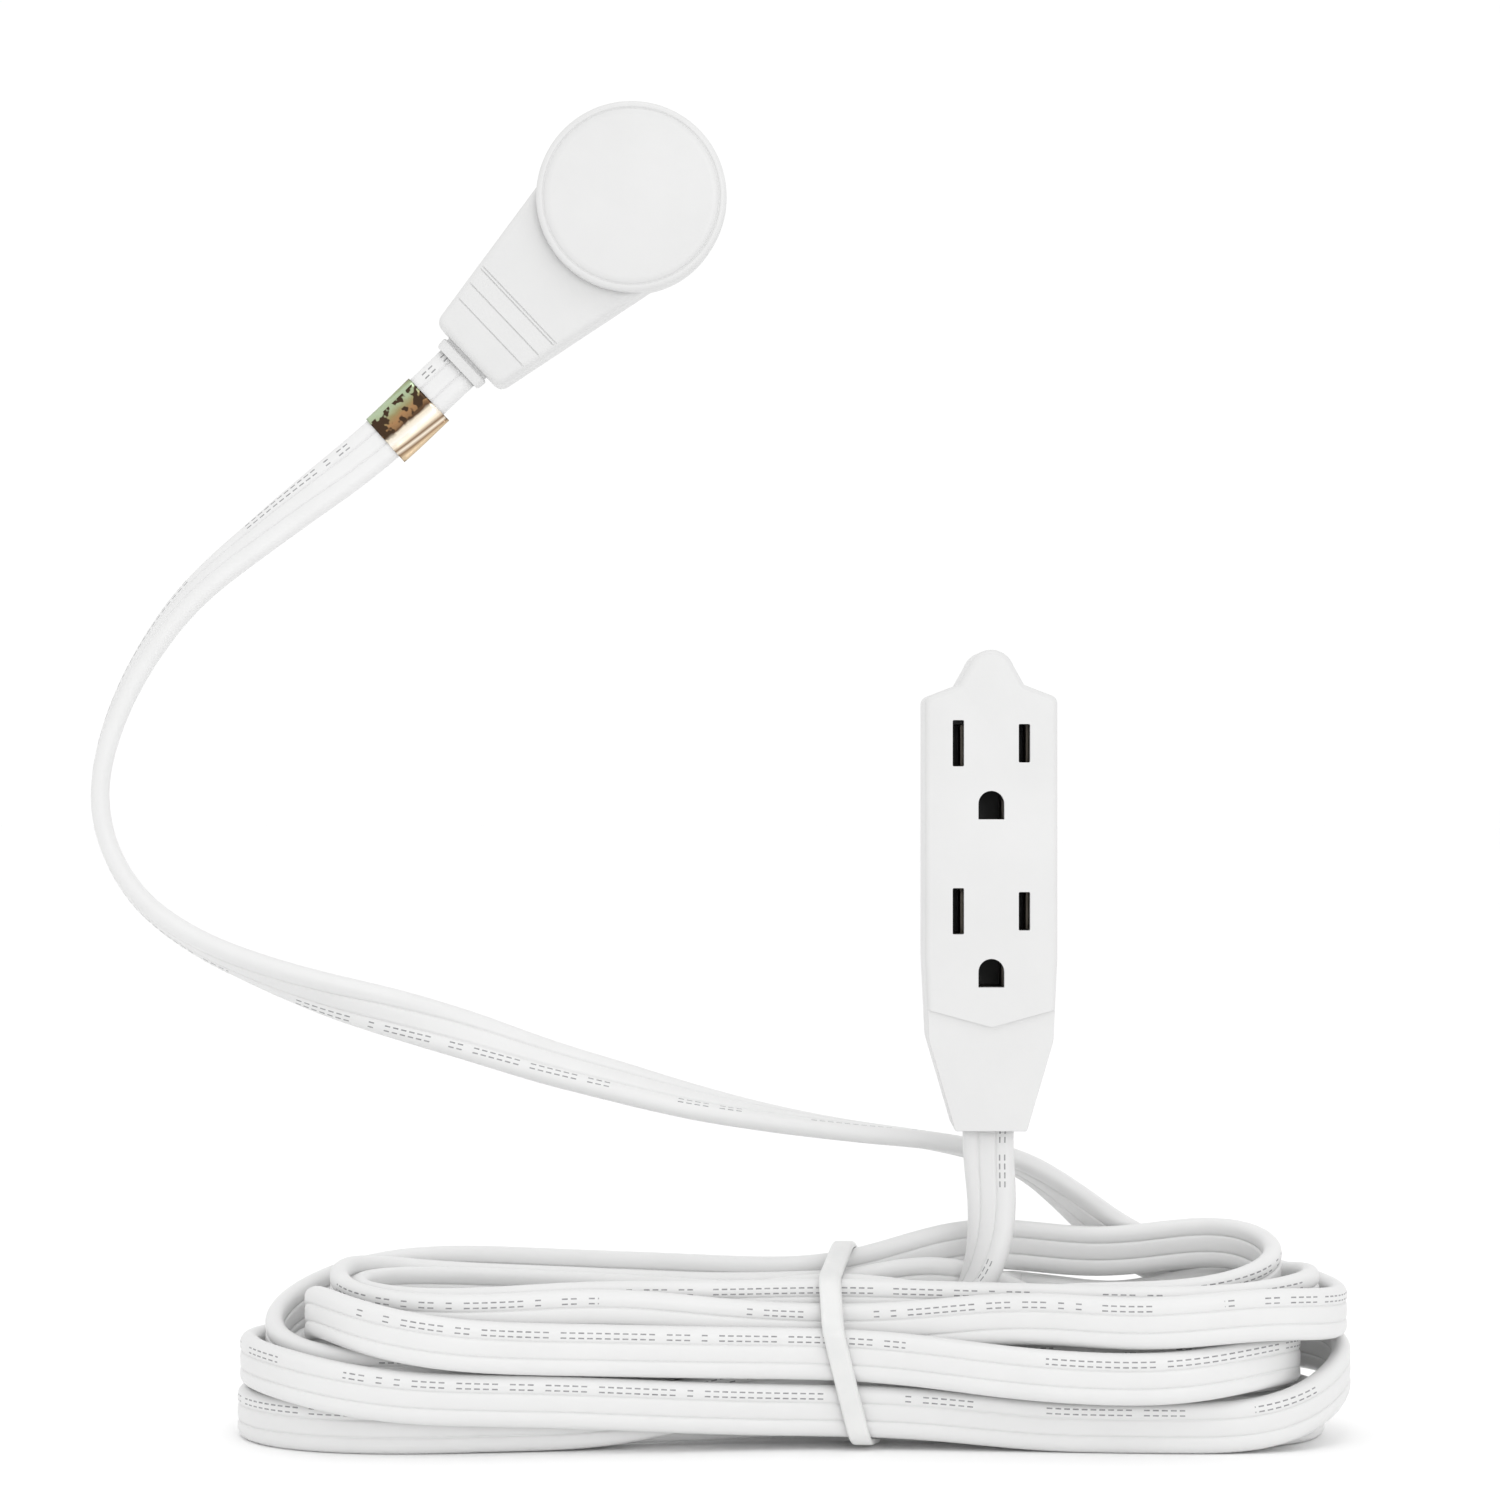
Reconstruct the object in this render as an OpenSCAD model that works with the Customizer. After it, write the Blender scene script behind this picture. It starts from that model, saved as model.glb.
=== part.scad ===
// Three-outlet household extension cord with a flat plug whose face turns on its arm.
// The origin is midway between the two flat blades, in the plane of the wall.
// +X is right, +Y goes into the wall and +Z is up, in millimetres.

/* [Plug] */
// Diameter of the front disc
disc_d = 38.4; // [37.4:0.2:42]
// Thickness of the front disc
disc_h = 3.2; // [2.6:0.2:4]
// Diameter of the arm's round end
housing_d = 36.8; // [36.4:0.2:38]
// From the swivel axis to the arm's cord end
arm_reach = 46.1; // [44:0.1:50]
// Width of the arm across the swivel axis
arm_root_w = 34.6; // [32:0.2:36]
// Width of the arm at its cord end
arm_end_w = 18.3; // [17:0.1:20]
// Height of the arm's front face above the wall
arm_front = 10.5; // [10.5:0.1:12]
// Angle of the arm below horizontal
arm_angle = 43.5; // [41:0.5:46]
// Wall thickness of the arm's shells
arm_wall = 1.8; // [1.6:0.1:2]
// Diameter of the swivel spindle
spindle_d = 5; // [4.4:0.2:5.4]
// Radial running clearance of the spindle in its bore
spindle_play = 0.05; // [0.03:0.01:0.1]
// Diameter of the turning blade carrier
carrier_d = 32; // [31.6:0.1:32.2]

/* [Blades] */
// Distance between the two flat blades, centre to centre
blade_gap = 12.7; // [12.6:0.1:12.8]
// Width of a flat blade
blade_w = 6.35; // [6.2:0.05:6.5]
// Thickness of a flat blade
blade_t = 1.5; // [1.4:0.1:1.6]
// Length of a flat blade from the face of the plug
blade_len = 17; // [16:0.5:18]
// Diameter of the round ground pin
pin_d = 4.8; // [4.7:0.05:4.9]
// Length of the ground pin from the face of the plug
pin_len = 20; // [19:0.5:21]
// Distance of the ground pin below the flat blades
pin_drop = 11.9; // [11.8:0.1:12]

/* [Cord] */
// Width of the flat cord
cord_w = 10; // [9.6:0.1:10.2]
// Thickness of the flat cord
cord_t = 3.7; // [3.4:0.1:3.8]
// Drop from the swivel axis to the surface that the hank lies on
floor_drop = 246.5; // [246.5]

/* [Hank] */
// Height of the tied hank
hank_h = 34; // [33:0.5:36]
// Radius of the hank's left end
hank_left_r = 25; // [24:0.5:26]
// Radius of the hank's right end
hank_right_r = 25.5; // [24:0.5:26]
// Width of the cable tie
tie_w = 4.6; // [3:0.2:4.8]
// Thickness of the cable tie
tie_t = 1.2; // [1:0.1:1.4]

/* [Receptacle] */
// Width of the receptacle
rec_w = 25.4; // [25.4:0.1:27]
// Width of the receptacle at its cord end
rec_end_w = 13.8; // [13.4:0.2:15]
// Thickness of the receptacle, front to back
rec_t = 21; // [20:0.5:22]
// Wall thickness of the receptacle's shells
rec_wall = 1.8; // [1.6:0.1:2]
// Thickness of the receptacle's front and back faces
rec_face = 2.2; // [2:0.1:2.4]
// Distance between the two outlets on the front
outlet_pitch = 32.3; // [31:0.1:33]
// Width of a blade slot
slot_w = 2.2; // [2:0.1:2.4]
// Height of a neutral slot
neutral_slot_h = 8.9; // [8.6:0.1:9]
// Height of a line slot
line_slot_h = 7.4; // [7.2:0.1:7.8]
// Width of a ground opening
ground_slot_w = 5; // [5:0.1:5.4]
// Height of a ground opening
ground_slot_h = 5.5; // [5.3:0.1:5.6]

/* [Hidden] */
$fn = 96;

// A cut reaches this far past the face that it opens
over = 1;

// Plug, as heights above the wall
arm_back = 0.4;
swivel_gap = 0.3;
arm_split = 5.5;
arm_ceiling = arm_front - 1.9;
housing_inner_r = housing_d / 2 - 2;
carrier_h = 3;
ring_t = 0.8;
wiper_low = carrier_h + ring_t + swivel_gap;
wiper_t = 0.4;
wiper_w = 2;
spindle_r = spindle_d / 2;
boss_r = spindle_r + 1.1;
// Inner and outer radius of each slip ring
line_ring_r = [5, 7.4];
neutral_ring_r = [8.4, 10.6];
ground_ring_r = [11.6, 14];
// Sideways place of the outer wipers, and of the outer wires
wiper_side = 4.5;
wire_side = 3.3;
wire_r = 1.2;
crimp_wall = 0.4;
wire_start = 26;
cap_groove_r = 17.8;
pin_flange_r = 3.2;
pin_flange_h = 1.8;
// Distance of each groove across the arm from the swivel axis
arm_grooves = [31.3, 31.9, 35.5, 39.3];
groove_w = 0.3;
groove_depth = 0.25;

// Strain relief of the plug, as distances from the swivel axis
relief_inner = arm_reach - 5.1;
relief_neck = arm_reach - 2.9;
collar_start = arm_reach + 0.7;
collar_end = arm_reach + 3;
collar_w = 11.5;
collar_h = 5.8;
neck_w = 10.8;
neck_h = 4.6;

// Foil label around the lead
label_from = 8.6;
label_len = 12.2;
label_gap = 0.2;
label_t = 0.3;
label_flap = 1.4;
label_turn = 10;

// Receptacle
rec_x = 70.3;
rec_front = 48;
rec_back = rec_front - rec_t;
rec_mid = rec_front - rec_t / 2;
rec_bottom = -184.9;
rec_hip = -167.5;
rec_waist = -151.5;
rec_shoulder = -102.6;
rec_top = -101.1;
dome_r = 4.5;
dome_z = -96.7;
dome_foot = [6.3, -99];
dome_lean = 20;
carrier_half_w = 10.3;
carrier_low = -160.5;
carrier_high = -104.5;
carrier_face_t = 2.3;
upper_outlet_z = -110.2;
rear_outlet_z = upper_outlet_z - outlet_pitch / 2;
step_side_z = -160.4;
step_mid_z = -164.8;
step_depth = 0.6;
channel_half_w = 2;
ground_channel_half_w = 3.5;
contact_t = 0.5;
contact_gap = 1.6;
contact_leg = 8;
contact_root = 4.8;
ground_contact_gap = 4.9;
spine_w = 3;
spine_low = carrier_low - 0.5;
outlet_wire_side = 5.3;
relief_top = -170;
outlet_crimp_h = 5;

// Hank: plan of the closed solid, with a flat waist under the tie
floor_z = -floor_drop;
hank_top = floor_z + hank_h;
hank_left_x = -51.5;
hank_right_x = 116;
hank_mid_y = -29.5;
tie_x = 42;
waist_half_l = 4;
waist_front_y = -46.5;
waist_back_y = -17.5;

// Route of the lead from the plug down to the hank. Each row is x, y, z and the turn of the
// flat cord about its own line: 0 has a wide side to the front, 90 an edge to the front.
lead_depth = arm_split;
function off_plug(d, turn) = [-d * cos(arm_angle), -lead_depth, -d * sin(arm_angle), turn];
lead_route = [
    off_plug(collar_end, 6),
    off_plug(collar_end + 7, label_turn),
    off_plug(collar_end + 23, label_turn),
    [-73.5, -6.5, -66.5, 43],
    [-90, -8, -81, 62],
    [-100.5, -8, -96, 72],
    [-106, -8, -109, 78],
    [-108, -8, -120, 81],
    [-106.5, -8, -130, 81],
    [-100, -8, -141.5, 78],
    [-89, -8, -150, 71],
    [-76, -8, -156, 59],
    [-62, -8, -161, 35],
    [-48, -8, -165, 6],
    [-33, -8, -169.5, -18],
    [-18, -8, -174.5, -38],
    [-2, -8, -179, -48],
    [13, -8, -183, -62],
    [30, -8, -186.5, -80],
    [46.5, -8, -189, -90],
    [62.5, -8, -191, -97],
    [79, -8, -195.5, -108],
    [89, -8, -202.5, -128],
    [98, -7.5, -210, -152],
    [108, -6.4, -215.5, -180]
];

// Route of the riser from the hank up to the receptacle, in the same form
riser_route = [
    [68.2, -31.5, hank_top - 4, -62],
    [70.4, -33.5, -210, -42],
    [71.2, -35.7, -201, -28],
    [rec_x, -rec_mid, rec_bottom - 5, -12],
    [rec_x, -rec_mid, rec_bottom, -8]
];

// Half of the flat cord's section: an eight-sided outline
cord_section = [for (s = [1, -1]) each [
    [s * cord_w / 2, s * cord_t / 4],
    [s * cord_w * 0.39, s * cord_t / 2],
    [-s * cord_w * 0.39, s * cord_t / 2],
    [-s * cord_w / 2, s * cord_t / 4]
]];

function unit(v) = v / norm(v);
function place(row) = [row[0], row[1], row[2]];
function heading(route, i) =
    let (last = len(route) - 1)
    unit(place(route[min(i + 1, last)]) - place(route[max(i - 1, 0)]));
// Direction across the cord's width, square to its heading and turned by the row's angle
function across(route, i) =
    let (t = heading(route, i), m = unit(cross(t, [0, 1, 0])), a = route[i][3])
    cos(a) * m - sin(a) * cross(m, t);
function ring(route, i) =
    let (w = across(route, i), n = cross(heading(route, i), w))
    [for (p = cord_section) place(route[i]) + p.x * w + p.y * n];

// One closed tube swept along a route
module flat_tube(route) {
    sides = len(cord_section);
    rings = len(route);
    points = [for (i = [0:rings - 1]) each ring(route, i)];
    skin = [for (i = [0:rings - 2]) for (j = [0:sides - 1])
        let (a = i * sides + j, b = i * sides + (j + 1) % sides)
        each [[a, b, a + sides], [b, b + sides, a + sides]]];
    start = [for (j = [1:sides - 2]) [0, j + 1, j]];
    end = [for (j = [1:sides - 2]) [0, j, j + 1] + (rings - 1) * sides * [1, 1, 1]];
    polyhedron(points = points, faces = concat(skin, start, end), convexity = 10);
}

// Local X right, local Y up and local Z out of the wall
module on_wall() {
    rotate([90, 0, 0]) children();
}

// On the wall, with local X along the arm from the swivel axis to the cord
module on_arm() {
    on_wall() rotate(180 + arm_angle) children();
}

module centred_box(size, low) {
    translate([-size.x / 2, -size.y / 2, low]) cube(size);
}

module tube(outer_r, inner_r, h) {
    difference() {
        cylinder(r = outer_r, h = h);
        translate([0, 0, -over]) cylinder(r = inner_r, h = h + 2 * over);
    }
}

// ---- Plug: the part that turns in the arm ----

module rotor_cap() {
    bevel = 0.8;
    low = arm_front + swivel_gap;
    color("white") on_wall() difference() {
        union() {
            translate([0, 0, low]) cylinder(d = disc_d, h = disc_h - bevel);
            translate([0, 0, low + disc_h - bevel])
                cylinder(d1 = disc_d, d2 = disc_d - 2 * bevel, h = bevel);
        }
        translate([0, 0, low + disc_h - groove_depth])
            tube(cap_groove_r + groove_w / 2, cap_groove_r - groove_w / 2, groove_depth + over);
    }
}

module pivot_spindle() {
    color("silver") on_wall() translate([0, 0, carrier_h])
        cylinder(r = spindle_r, h = arm_front + swivel_gap - carrier_h);
}

module blade_carrier() {
    color("white") difference() {
        on_wall() cylinder(d = carrier_d, h = carrier_h);
        line_blade();
        neutral_blade();
        ground_pin();
    }
}

// One flat blade with a chamfered tip and its hole, from the wall up to height top
module blade(top) {
    tip = 1.2;
    hole_r = 1.6;
    hole_depth = 11.9;
    rotate([90, 0, 90]) linear_extrude(blade_t, center = true) difference() {
        polygon([
            [-blade_w / 2, top], [blade_w / 2, top],
            [blade_w / 2, tip - blade_len], [blade_w / 2 - tip, -blade_len],
            [tip - blade_w / 2, -blade_len], [-blade_w / 2, tip - blade_len]
        ]);
        translate([0, -hole_depth]) circle(r = hole_r);
    }
}

module line_blade() {
    color("silver") on_wall() translate([blade_gap / 2, 0, 0]) blade(carrier_h);
}

module neutral_blade() {
    foot_low = 0.8;
    foot_t = 0.8;
    post_x = (neutral_ring_r[0] + neutral_ring_r[1]) / 2;
    post_w = 2;
    color("silver") on_wall() {
        translate([-blade_gap / 2, 0, 0]) blade(foot_low + foot_t);
        translate([-post_x - foot_t / 2, -post_w / 2, foot_low])
            cube([post_x + foot_t / 2 - blade_gap / 2, post_w, foot_t]);
        translate([-post_x - foot_t / 2, -post_w / 2, foot_low])
            cube([foot_t, post_w, carrier_h - foot_low]);
    }
}

module ground_pin() {
    pin_r = pin_d / 2;
    color("silver") on_wall() translate([0, -pin_drop, 0]) {
        translate([0, 0, pin_r - pin_len]) cylinder(r = pin_r, h = pin_len - pin_r);
        translate([0, 0, pin_r - pin_len]) sphere(r = pin_r);
        cylinder(r = pin_flange_r, h = pin_flange_h);
        translate([0, 0, pin_flange_h]) cylinder(r = wire_r, h = carrier_h - pin_flange_h);
    }
}

module slip_ring(radii) {
    color("goldenrod") on_wall() translate([0, 0, carrier_h]) tube(radii[1], radii[0], ring_t);
}

module line_ring() {
    slip_ring(line_ring_r);
}

module neutral_ring() {
    slip_ring(neutral_ring_r);
}

module ground_ring() {
    slip_ring(ground_ring_r);
}

// ---- Plug: the arm ----

// Plan of the arm, drawn in by inset all round
module arm_plan(round_r, inset) {
    circle(r = round_r);
    polygon([
        [0, inset - arm_root_w / 2], [arm_reach - inset, inset - arm_end_w / 2],
        [arm_reach - inset, arm_end_w / 2 - inset], [0, arm_root_w / 2 - inset]
    ]);
}

module arm_shell(low, high, cavity_low, cavity_high) {
    difference() {
        translate([0, 0, low]) linear_extrude(high - low) arm_plan(housing_d / 2, 0);
        translate([0, 0, cavity_low])
            linear_extrude(cavity_high - cavity_low) arm_plan(housing_inner_r, arm_wall);
        translate([arm_reach - arm_wall - over, -neck_w / 2, arm_split - neck_h / 2])
            cube([arm_wall + 2 * over, neck_w, neck_h]);
    }
}

module arm_front_shell() {
    color("white") on_arm() difference() {
        union() {
            arm_shell(arm_split, arm_front, arm_split - over, arm_ceiling);
            translate([0, 0, carrier_h + swivel_gap])
                cylinder(r = boss_r, h = arm_front - carrier_h - swivel_gap);
        }
        cylinder(r = spindle_r + spindle_play, h = arm_front + over);
        for (u = arm_grooves)
            translate([u - groove_w / 2, -arm_root_w / 2, arm_front - groove_depth])
                cube([groove_w, arm_root_w, groove_depth + over]);
    }
}

module arm_rear_shell() {
    floor_t = 1.8;
    color("white") on_arm() difference() {
        arm_shell(arm_back, arm_split, arm_back + floor_t, arm_split + over);
        cylinder(r = housing_inner_r, h = arm_split);
    }
}

// A spring strip from the arm's ceiling down to a slip ring, tip_u along the arm
module wiper(tip_u, side) {
    pad = 0.8;
    root = 17.5;
    color("goldenrod") on_arm() translate([0, side, 0])
        rotate([90, 0, 0]) linear_extrude(wiper_w, center = true) polygon([
            [tip_u - pad, wiper_low], [tip_u + pad, wiper_low],
            [root, arm_ceiling - wiper_t], [wire_start, arm_ceiling - wiper_t],
            [wire_start, arm_ceiling], [root - wiper_t, arm_ceiling],
            [tip_u + pad - wiper_t, wiper_low + wiper_t], [tip_u - pad, wiper_low + wiper_t]
        ]);
}

function ring_middle(radii) = (radii[0] + radii[1]) / 2;
function tip_along(radii, side) = sqrt(pow(ring_middle(radii), 2) - pow(side, 2));

module line_wiper() {
    wiper(tip_along(line_ring_r, 0), 0);
}

module neutral_wiper() {
    wiper(tip_along(neutral_ring_r, wiper_side), wiper_side);
}

module ground_wiper() {
    wiper(tip_along(ground_ring_r, wiper_side), -wiper_side);
}

// Each barrel grips a wire, and its neck reaches up to the wiper
module wiper_crimps() {
    barrel = 4;
    neck_t = 1.2;
    color("goldenrod") on_arm() for (k = [-1:1]) {
        neck_low = arm_split + wire_r;
        translate([wire_start - barrel, k * wire_side, arm_split]) rotate([0, 90, 0])
            tube(wire_r + crimp_wall, wire_r, barrel);
        translate([wire_start - barrel, k * (wire_side + 0.4) - neck_t / 2, neck_low + 0.1])
            cube([barrel, neck_t, arm_ceiling - wiper_t - neck_low - 0.1]);
    }
}

module plug_wire(side) {
    on_arm() translate([wire_start - 4, side, arm_split]) rotate([0, 90, 0])
        cylinder(r = wire_r, h = relief_inner - wire_start + 4);
}

module line_plug_wire() {
    color("black") plug_wire(0);
}

module neutral_plug_wire() {
    color("white") plug_wire(wire_side);
}

module ground_plug_wire() {
    color("green") plug_wire(-wire_side);
}

// Inner flange, neck through the arm's end wall and the collar outside
module plug_strain_relief() {
    flange_h = 6;
    color("white") on_arm() {
        translate([relief_inner, -collar_w / 2, arm_split - flange_h / 2])
            cube([relief_neck - relief_inner, collar_w, flange_h]);
        translate([relief_neck, -neck_w / 2, arm_split - neck_h / 2])
            cube([collar_start - relief_neck, neck_w, neck_h]);
        translate([collar_start, -collar_w / 2, arm_split - collar_h / 2])
            cube([collar_end - collar_start, collar_w, collar_h]);
    }
}

// ---- Cord ----

module plug_lead() {
    color("white") flat_tube(lead_route);
}

// A band around the lead with its loose end standing off the lower edge
module foil_label() {
    middle = collar_end + label_from + label_len / 2;
    inner = [cord_w + 2 * label_gap, cord_t + 4 * label_gap];
    color("darkkhaki")
        translate([-middle * cos(arm_angle), -lead_depth, -middle * sin(arm_angle)])
        rotate([90, 0, 0]) rotate(180 + arm_angle) rotate([0, 90, 0]) rotate(label_turn) {
            difference() {
                cube([inner.y + 2 * label_t, inner.x + 2 * label_t, label_len], center = true);
                cube([inner.y, inner.x, label_len + over], center = true);
            }
            translate([-label_t / 2, inner.x / 2 + label_t, -label_len / 2])
                cube([label_t, label_flap, label_len]);
        }
}

// Points round one end of the hank, from angle a0 to a1 in steps of 10 degrees
function hank_end(x, r, a0, a1) = [for (a = [a0:10:a1]) [x + r * cos(a), hank_mid_y + r * sin(a)]];

// Plan of the hank: two round ends drawn in to a waist
module hank_plan() {
    polygon(concat(
        hank_end(hank_left_x, hank_left_r, 80, 280),
        [for (s = [-1, 1]) [tie_x + s * waist_half_l, waist_front_y]],
        hank_end(hank_right_x, hank_right_r, -80, 80),
        [for (s = [1, -1]) [tie_x + s * waist_half_l, waist_back_y]]
    ));
}

module cord_hank() {
    lift = tie_t + 0.1;
    color("white") difference() {
        translate([0, 0, floor_z]) linear_extrude(hank_h) hank_plan();
        translate([tie_x - tie_w / 2 - over, 2 * waist_front_y, floor_z - over])
            cube([tie_w + 2 * over, -2 * waist_front_y, lift + over]);
    }
}

module cable_tie() {
    head = [5.5, 4.5, 6];
    low = floor_z + tie_t + 0.1;
    depth = waist_back_y - waist_front_y;
    color("whitesmoke") {
        translate([tie_x - tie_w / 2, 0, 0]) difference() {
            translate([0, waist_front_y - tie_t, low - tie_t])
                cube([tie_w, depth + 2 * tie_t, hank_top - low + 2 * tie_t]);
            translate([-over, waist_front_y, low])
                cube([tie_w + 2 * over, depth, hank_top - low]);
        }
        translate([tie_x - head.x / 2, waist_back_y + tie_t / 2, floor_z + hank_h / 2])
            cube(head);
    }
}

module receptacle_riser() {
    color("white") flat_tube(riser_route);
}

// ---- Receptacle ----

// In these modules local Y is height and local Z is the distance from the wall
module on_receptacle() {
    translate([rec_x, 0, 0]) on_wall() children();
}

// Plan seen from the front, drawn in by inset all round
module rec_plan(inset) {
    half = rec_w / 2 - inset;
    low = rec_bottom + inset;
    hip = half - 0.8;
    crown = half - 1;
    polygon([
        [-rec_end_w / 2 + inset, low], [rec_end_w / 2 - inset, low],
        [hip, rec_hip], [half, rec_waist], [half, rec_shoulder - inset],
        [crown, rec_top - inset], [dome_foot.x, dome_foot.y - inset],
        [-dome_foot.x, dome_foot.y - inset], [-crown, rec_top - inset],
        [-half, rec_shoulder - inset], [-half, rec_waist], [-hip, rec_hip]
    ]);
}

// Round knob on the top: an arc with a foot that spreads to the shoulders
module dome_plan() {
    arc_x = dome_r * cos(dome_lean);
    arc_z = dome_z + dome_r * sin(dome_lean);
    translate([0, dome_z]) circle(r = dome_r);
    polygon([
        [-dome_foot.x, dome_foot.y - over], [dome_foot.x, dome_foot.y - over], dome_foot,
        [arc_x, arc_z], [-arc_x, arc_z], [-dome_foot.x, dome_foot.y]
    ]);
}

module ground_slot() {
    r = ground_slot_w / 2;
    translate([0, ground_slot_h / 2 - r]) circle(r = r);
    translate([-r, -ground_slot_h / 2]) square([ground_slot_w, ground_slot_h - r]);
}

// The three openings of one outlet. up is 1 with the ground opening above, -1 below.
module outlet_slots(z, up) {
    translate([-blade_gap / 2 - slot_w / 2, z - neutral_slot_h / 2]) square([slot_w, neutral_slot_h]);
    translate([blade_gap / 2 - slot_w / 2, z - line_slot_h / 2]) square([slot_w, line_slot_h]);
    translate([0, z + up * pin_drop]) scale([1, -up]) ground_slot();
}

module front_outlets() {
    for (k = [0, 1]) outlet_slots(upper_outlet_z - k * outlet_pitch, -1);
}

module rear_outlet() {
    outlet_slots(rear_outlet_z, 1);
}

// Opening for the cord, shared by the two shells
module cord_opening() {
    translate([-neck_w / 2, rec_bottom - over, rec_mid - neck_h / 2])
        cube([neck_w, rec_wall + 2 * over, neck_h]);
}

module receptacle_front_shell() {
    color("white") on_receptacle() difference() {
        translate([0, 0, rec_mid]) linear_extrude(rec_t / 2) union() {
            rec_plan(0);
            dome_plan();
        }
        translate([0, 0, rec_mid - over])
            linear_extrude(rec_t / 2 - rec_face + over) rec_plan(rec_wall);
        translate([0, 0, rec_mid]) linear_extrude(rec_t) front_outlets();
        translate([0, 0, rec_front - step_depth]) linear_extrude(over) polygon([
            [-rec_w, step_side_z], [0, step_mid_z], [rec_w, step_side_z],
            [rec_w, rec_bottom - over], [-rec_w, rec_bottom - over]
        ]);
        cord_opening();
    }
}

module receptacle_back_shell() {
    color("white") on_receptacle() difference() {
        translate([0, 0, rec_back]) linear_extrude(rec_t / 2) union() {
            rec_plan(0);
            dome_plan();
        }
        translate([0, 0, rec_back + rec_face])
            linear_extrude(rec_t / 2 - rec_face + over) rec_plan(rec_wall);
        translate([0, 0, rec_back - over]) linear_extrude(rec_t / 2) rear_outlet();
        cord_opening();
    }
}

// Black insulating block: the outlets pierce its face and three channels hold the contacts
module contact_carrier(low, face_low, channel_low) {
    half_t = rec_t / 2 - rec_face;
    difference() {
        translate([-carrier_half_w, carrier_low, low])
            cube([2 * carrier_half_w, carrier_high - carrier_low, half_t]);
        for (k = [-1:1]) {
            w = k == 0 ? ground_channel_half_w : channel_half_w;
            translate([k * blade_gap / 2 - w, carrier_low - over, channel_low])
                cube([2 * w, carrier_high - carrier_low - 1, half_t - carrier_face_t + over]);
        }
        translate([0, 0, face_low - over]) linear_extrude(carrier_face_t + 2 * over) children();
    }
}

module contact_carrier_front() {
    face_low = rec_front - rec_face - carrier_face_t;
    color("black") on_receptacle()
        contact_carrier(rec_mid, face_low, rec_mid - over) front_outlets();
}

module contact_carrier_back() {
    low = rec_back + rec_face;
    color("black") on_receptacle() contact_carrier(low, low, low + carrier_face_t) rear_outlet();
}

// A contact for the front or the back: two leaves, joined below the opening by a web
module contact(x, z, gap, below, above, front) {
    root = front ? rec_mid - contact_root : rec_mid + contact_root - contact_leg;
    for (s = [-1, 1])
        translate([x + s * (gap + contact_t) / 2 - contact_t / 2, z - below, root])
            cube([contact_t, below + above, contact_leg]);
    translate([x - gap / 2 - contact_t, z - below, root])
        cube([gap + 2 * contact_t, contact_t, contact_leg]);
}

// The strip that joins a bar's contacts, along their inner leaves
module spine(x, high) {
    translate([x - contact_t / 2, spine_low, rec_mid - spine_w / 2])
        cube([contact_t, high - spine_low, spine_w]);
}

module blade_busbar(side) {
    below = 5.2;
    above = 3.5;
    x = side * blade_gap / 2;
    color("goldenrod") on_receptacle() {
        for (k = [0, 1])
            contact(x, upper_outlet_z - k * outlet_pitch, contact_gap, below, above, true);
        contact(x, rear_outlet_z, contact_gap, below, above, false);
        spine(x - side * (contact_gap + contact_t) / 2, upper_outlet_z);
    }
}

module line_busbar() {
    blade_busbar(1);
}

module neutral_busbar() {
    blade_busbar(-1);
}

module ground_busbar() {
    below = 3.6;
    above = 2.5;
    leaf_x = (ground_contact_gap + contact_t) / 2;
    color("goldenrod") on_receptacle() {
        for (k = [0, 1])
            contact(0, upper_outlet_z - pin_drop - k * outlet_pitch, ground_contact_gap,
                below, above, true);
        contact(0, rear_outlet_z + pin_drop, ground_contact_gap, below, above, false);
        spine(leaf_x, rear_outlet_z + pin_drop);
        translate([-wire_r, spine_low, rec_mid - spine_w / 2])
            cube([leaf_x + wire_r, contact_t, spine_w]);
    }
}

// A cap on the top of each wire, under the tail of its bar
module busbar_crimps() {
    cap = 1;
    color("goldenrod") on_receptacle() for (k = [-1:1])
        translate([k * outlet_wire_side, spine_low, rec_mid]) rotate([90, 0, 0]) difference() {
            cylinder(r = wire_r + crimp_wall, h = outlet_crimp_h);
            translate([0, 0, cap]) cylinder(r = wire_r, h = outlet_crimp_h);
        }
}

module outlet_wire(side) {
    top = spine_low - 1;
    on_receptacle() translate([side, top, rec_mid]) rotate([90, 0, 0])
        cylinder(r = wire_r, h = top - relief_top);
}

module line_outlet_wire() {
    color("black") outlet_wire(outlet_wire_side);
}

module neutral_outlet_wire() {
    color("white") outlet_wire(-outlet_wire_side);
}

module ground_outlet_wire() {
    color("green") outlet_wire(0);
}

// Wedge inside the taper of the shells, with a neck that fills the cord opening
module receptacle_strain_relief() {
    half_t = 5;
    neck_top = rec_bottom + rec_wall;
    color("white") on_receptacle() {
        translate([0, 0, rec_mid - half_t]) linear_extrude(2 * half_t) polygon([
            [-neck_w / 2 + 0.6, neck_top], [neck_w / 2 - 0.6, neck_top],
            [7.6, relief_top], [-7.6, relief_top]
        ]);
        translate([-neck_w / 2, rec_bottom, rec_mid - neck_h / 2])
            cube([neck_w, rec_wall, neck_h]);
    }
}

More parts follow.
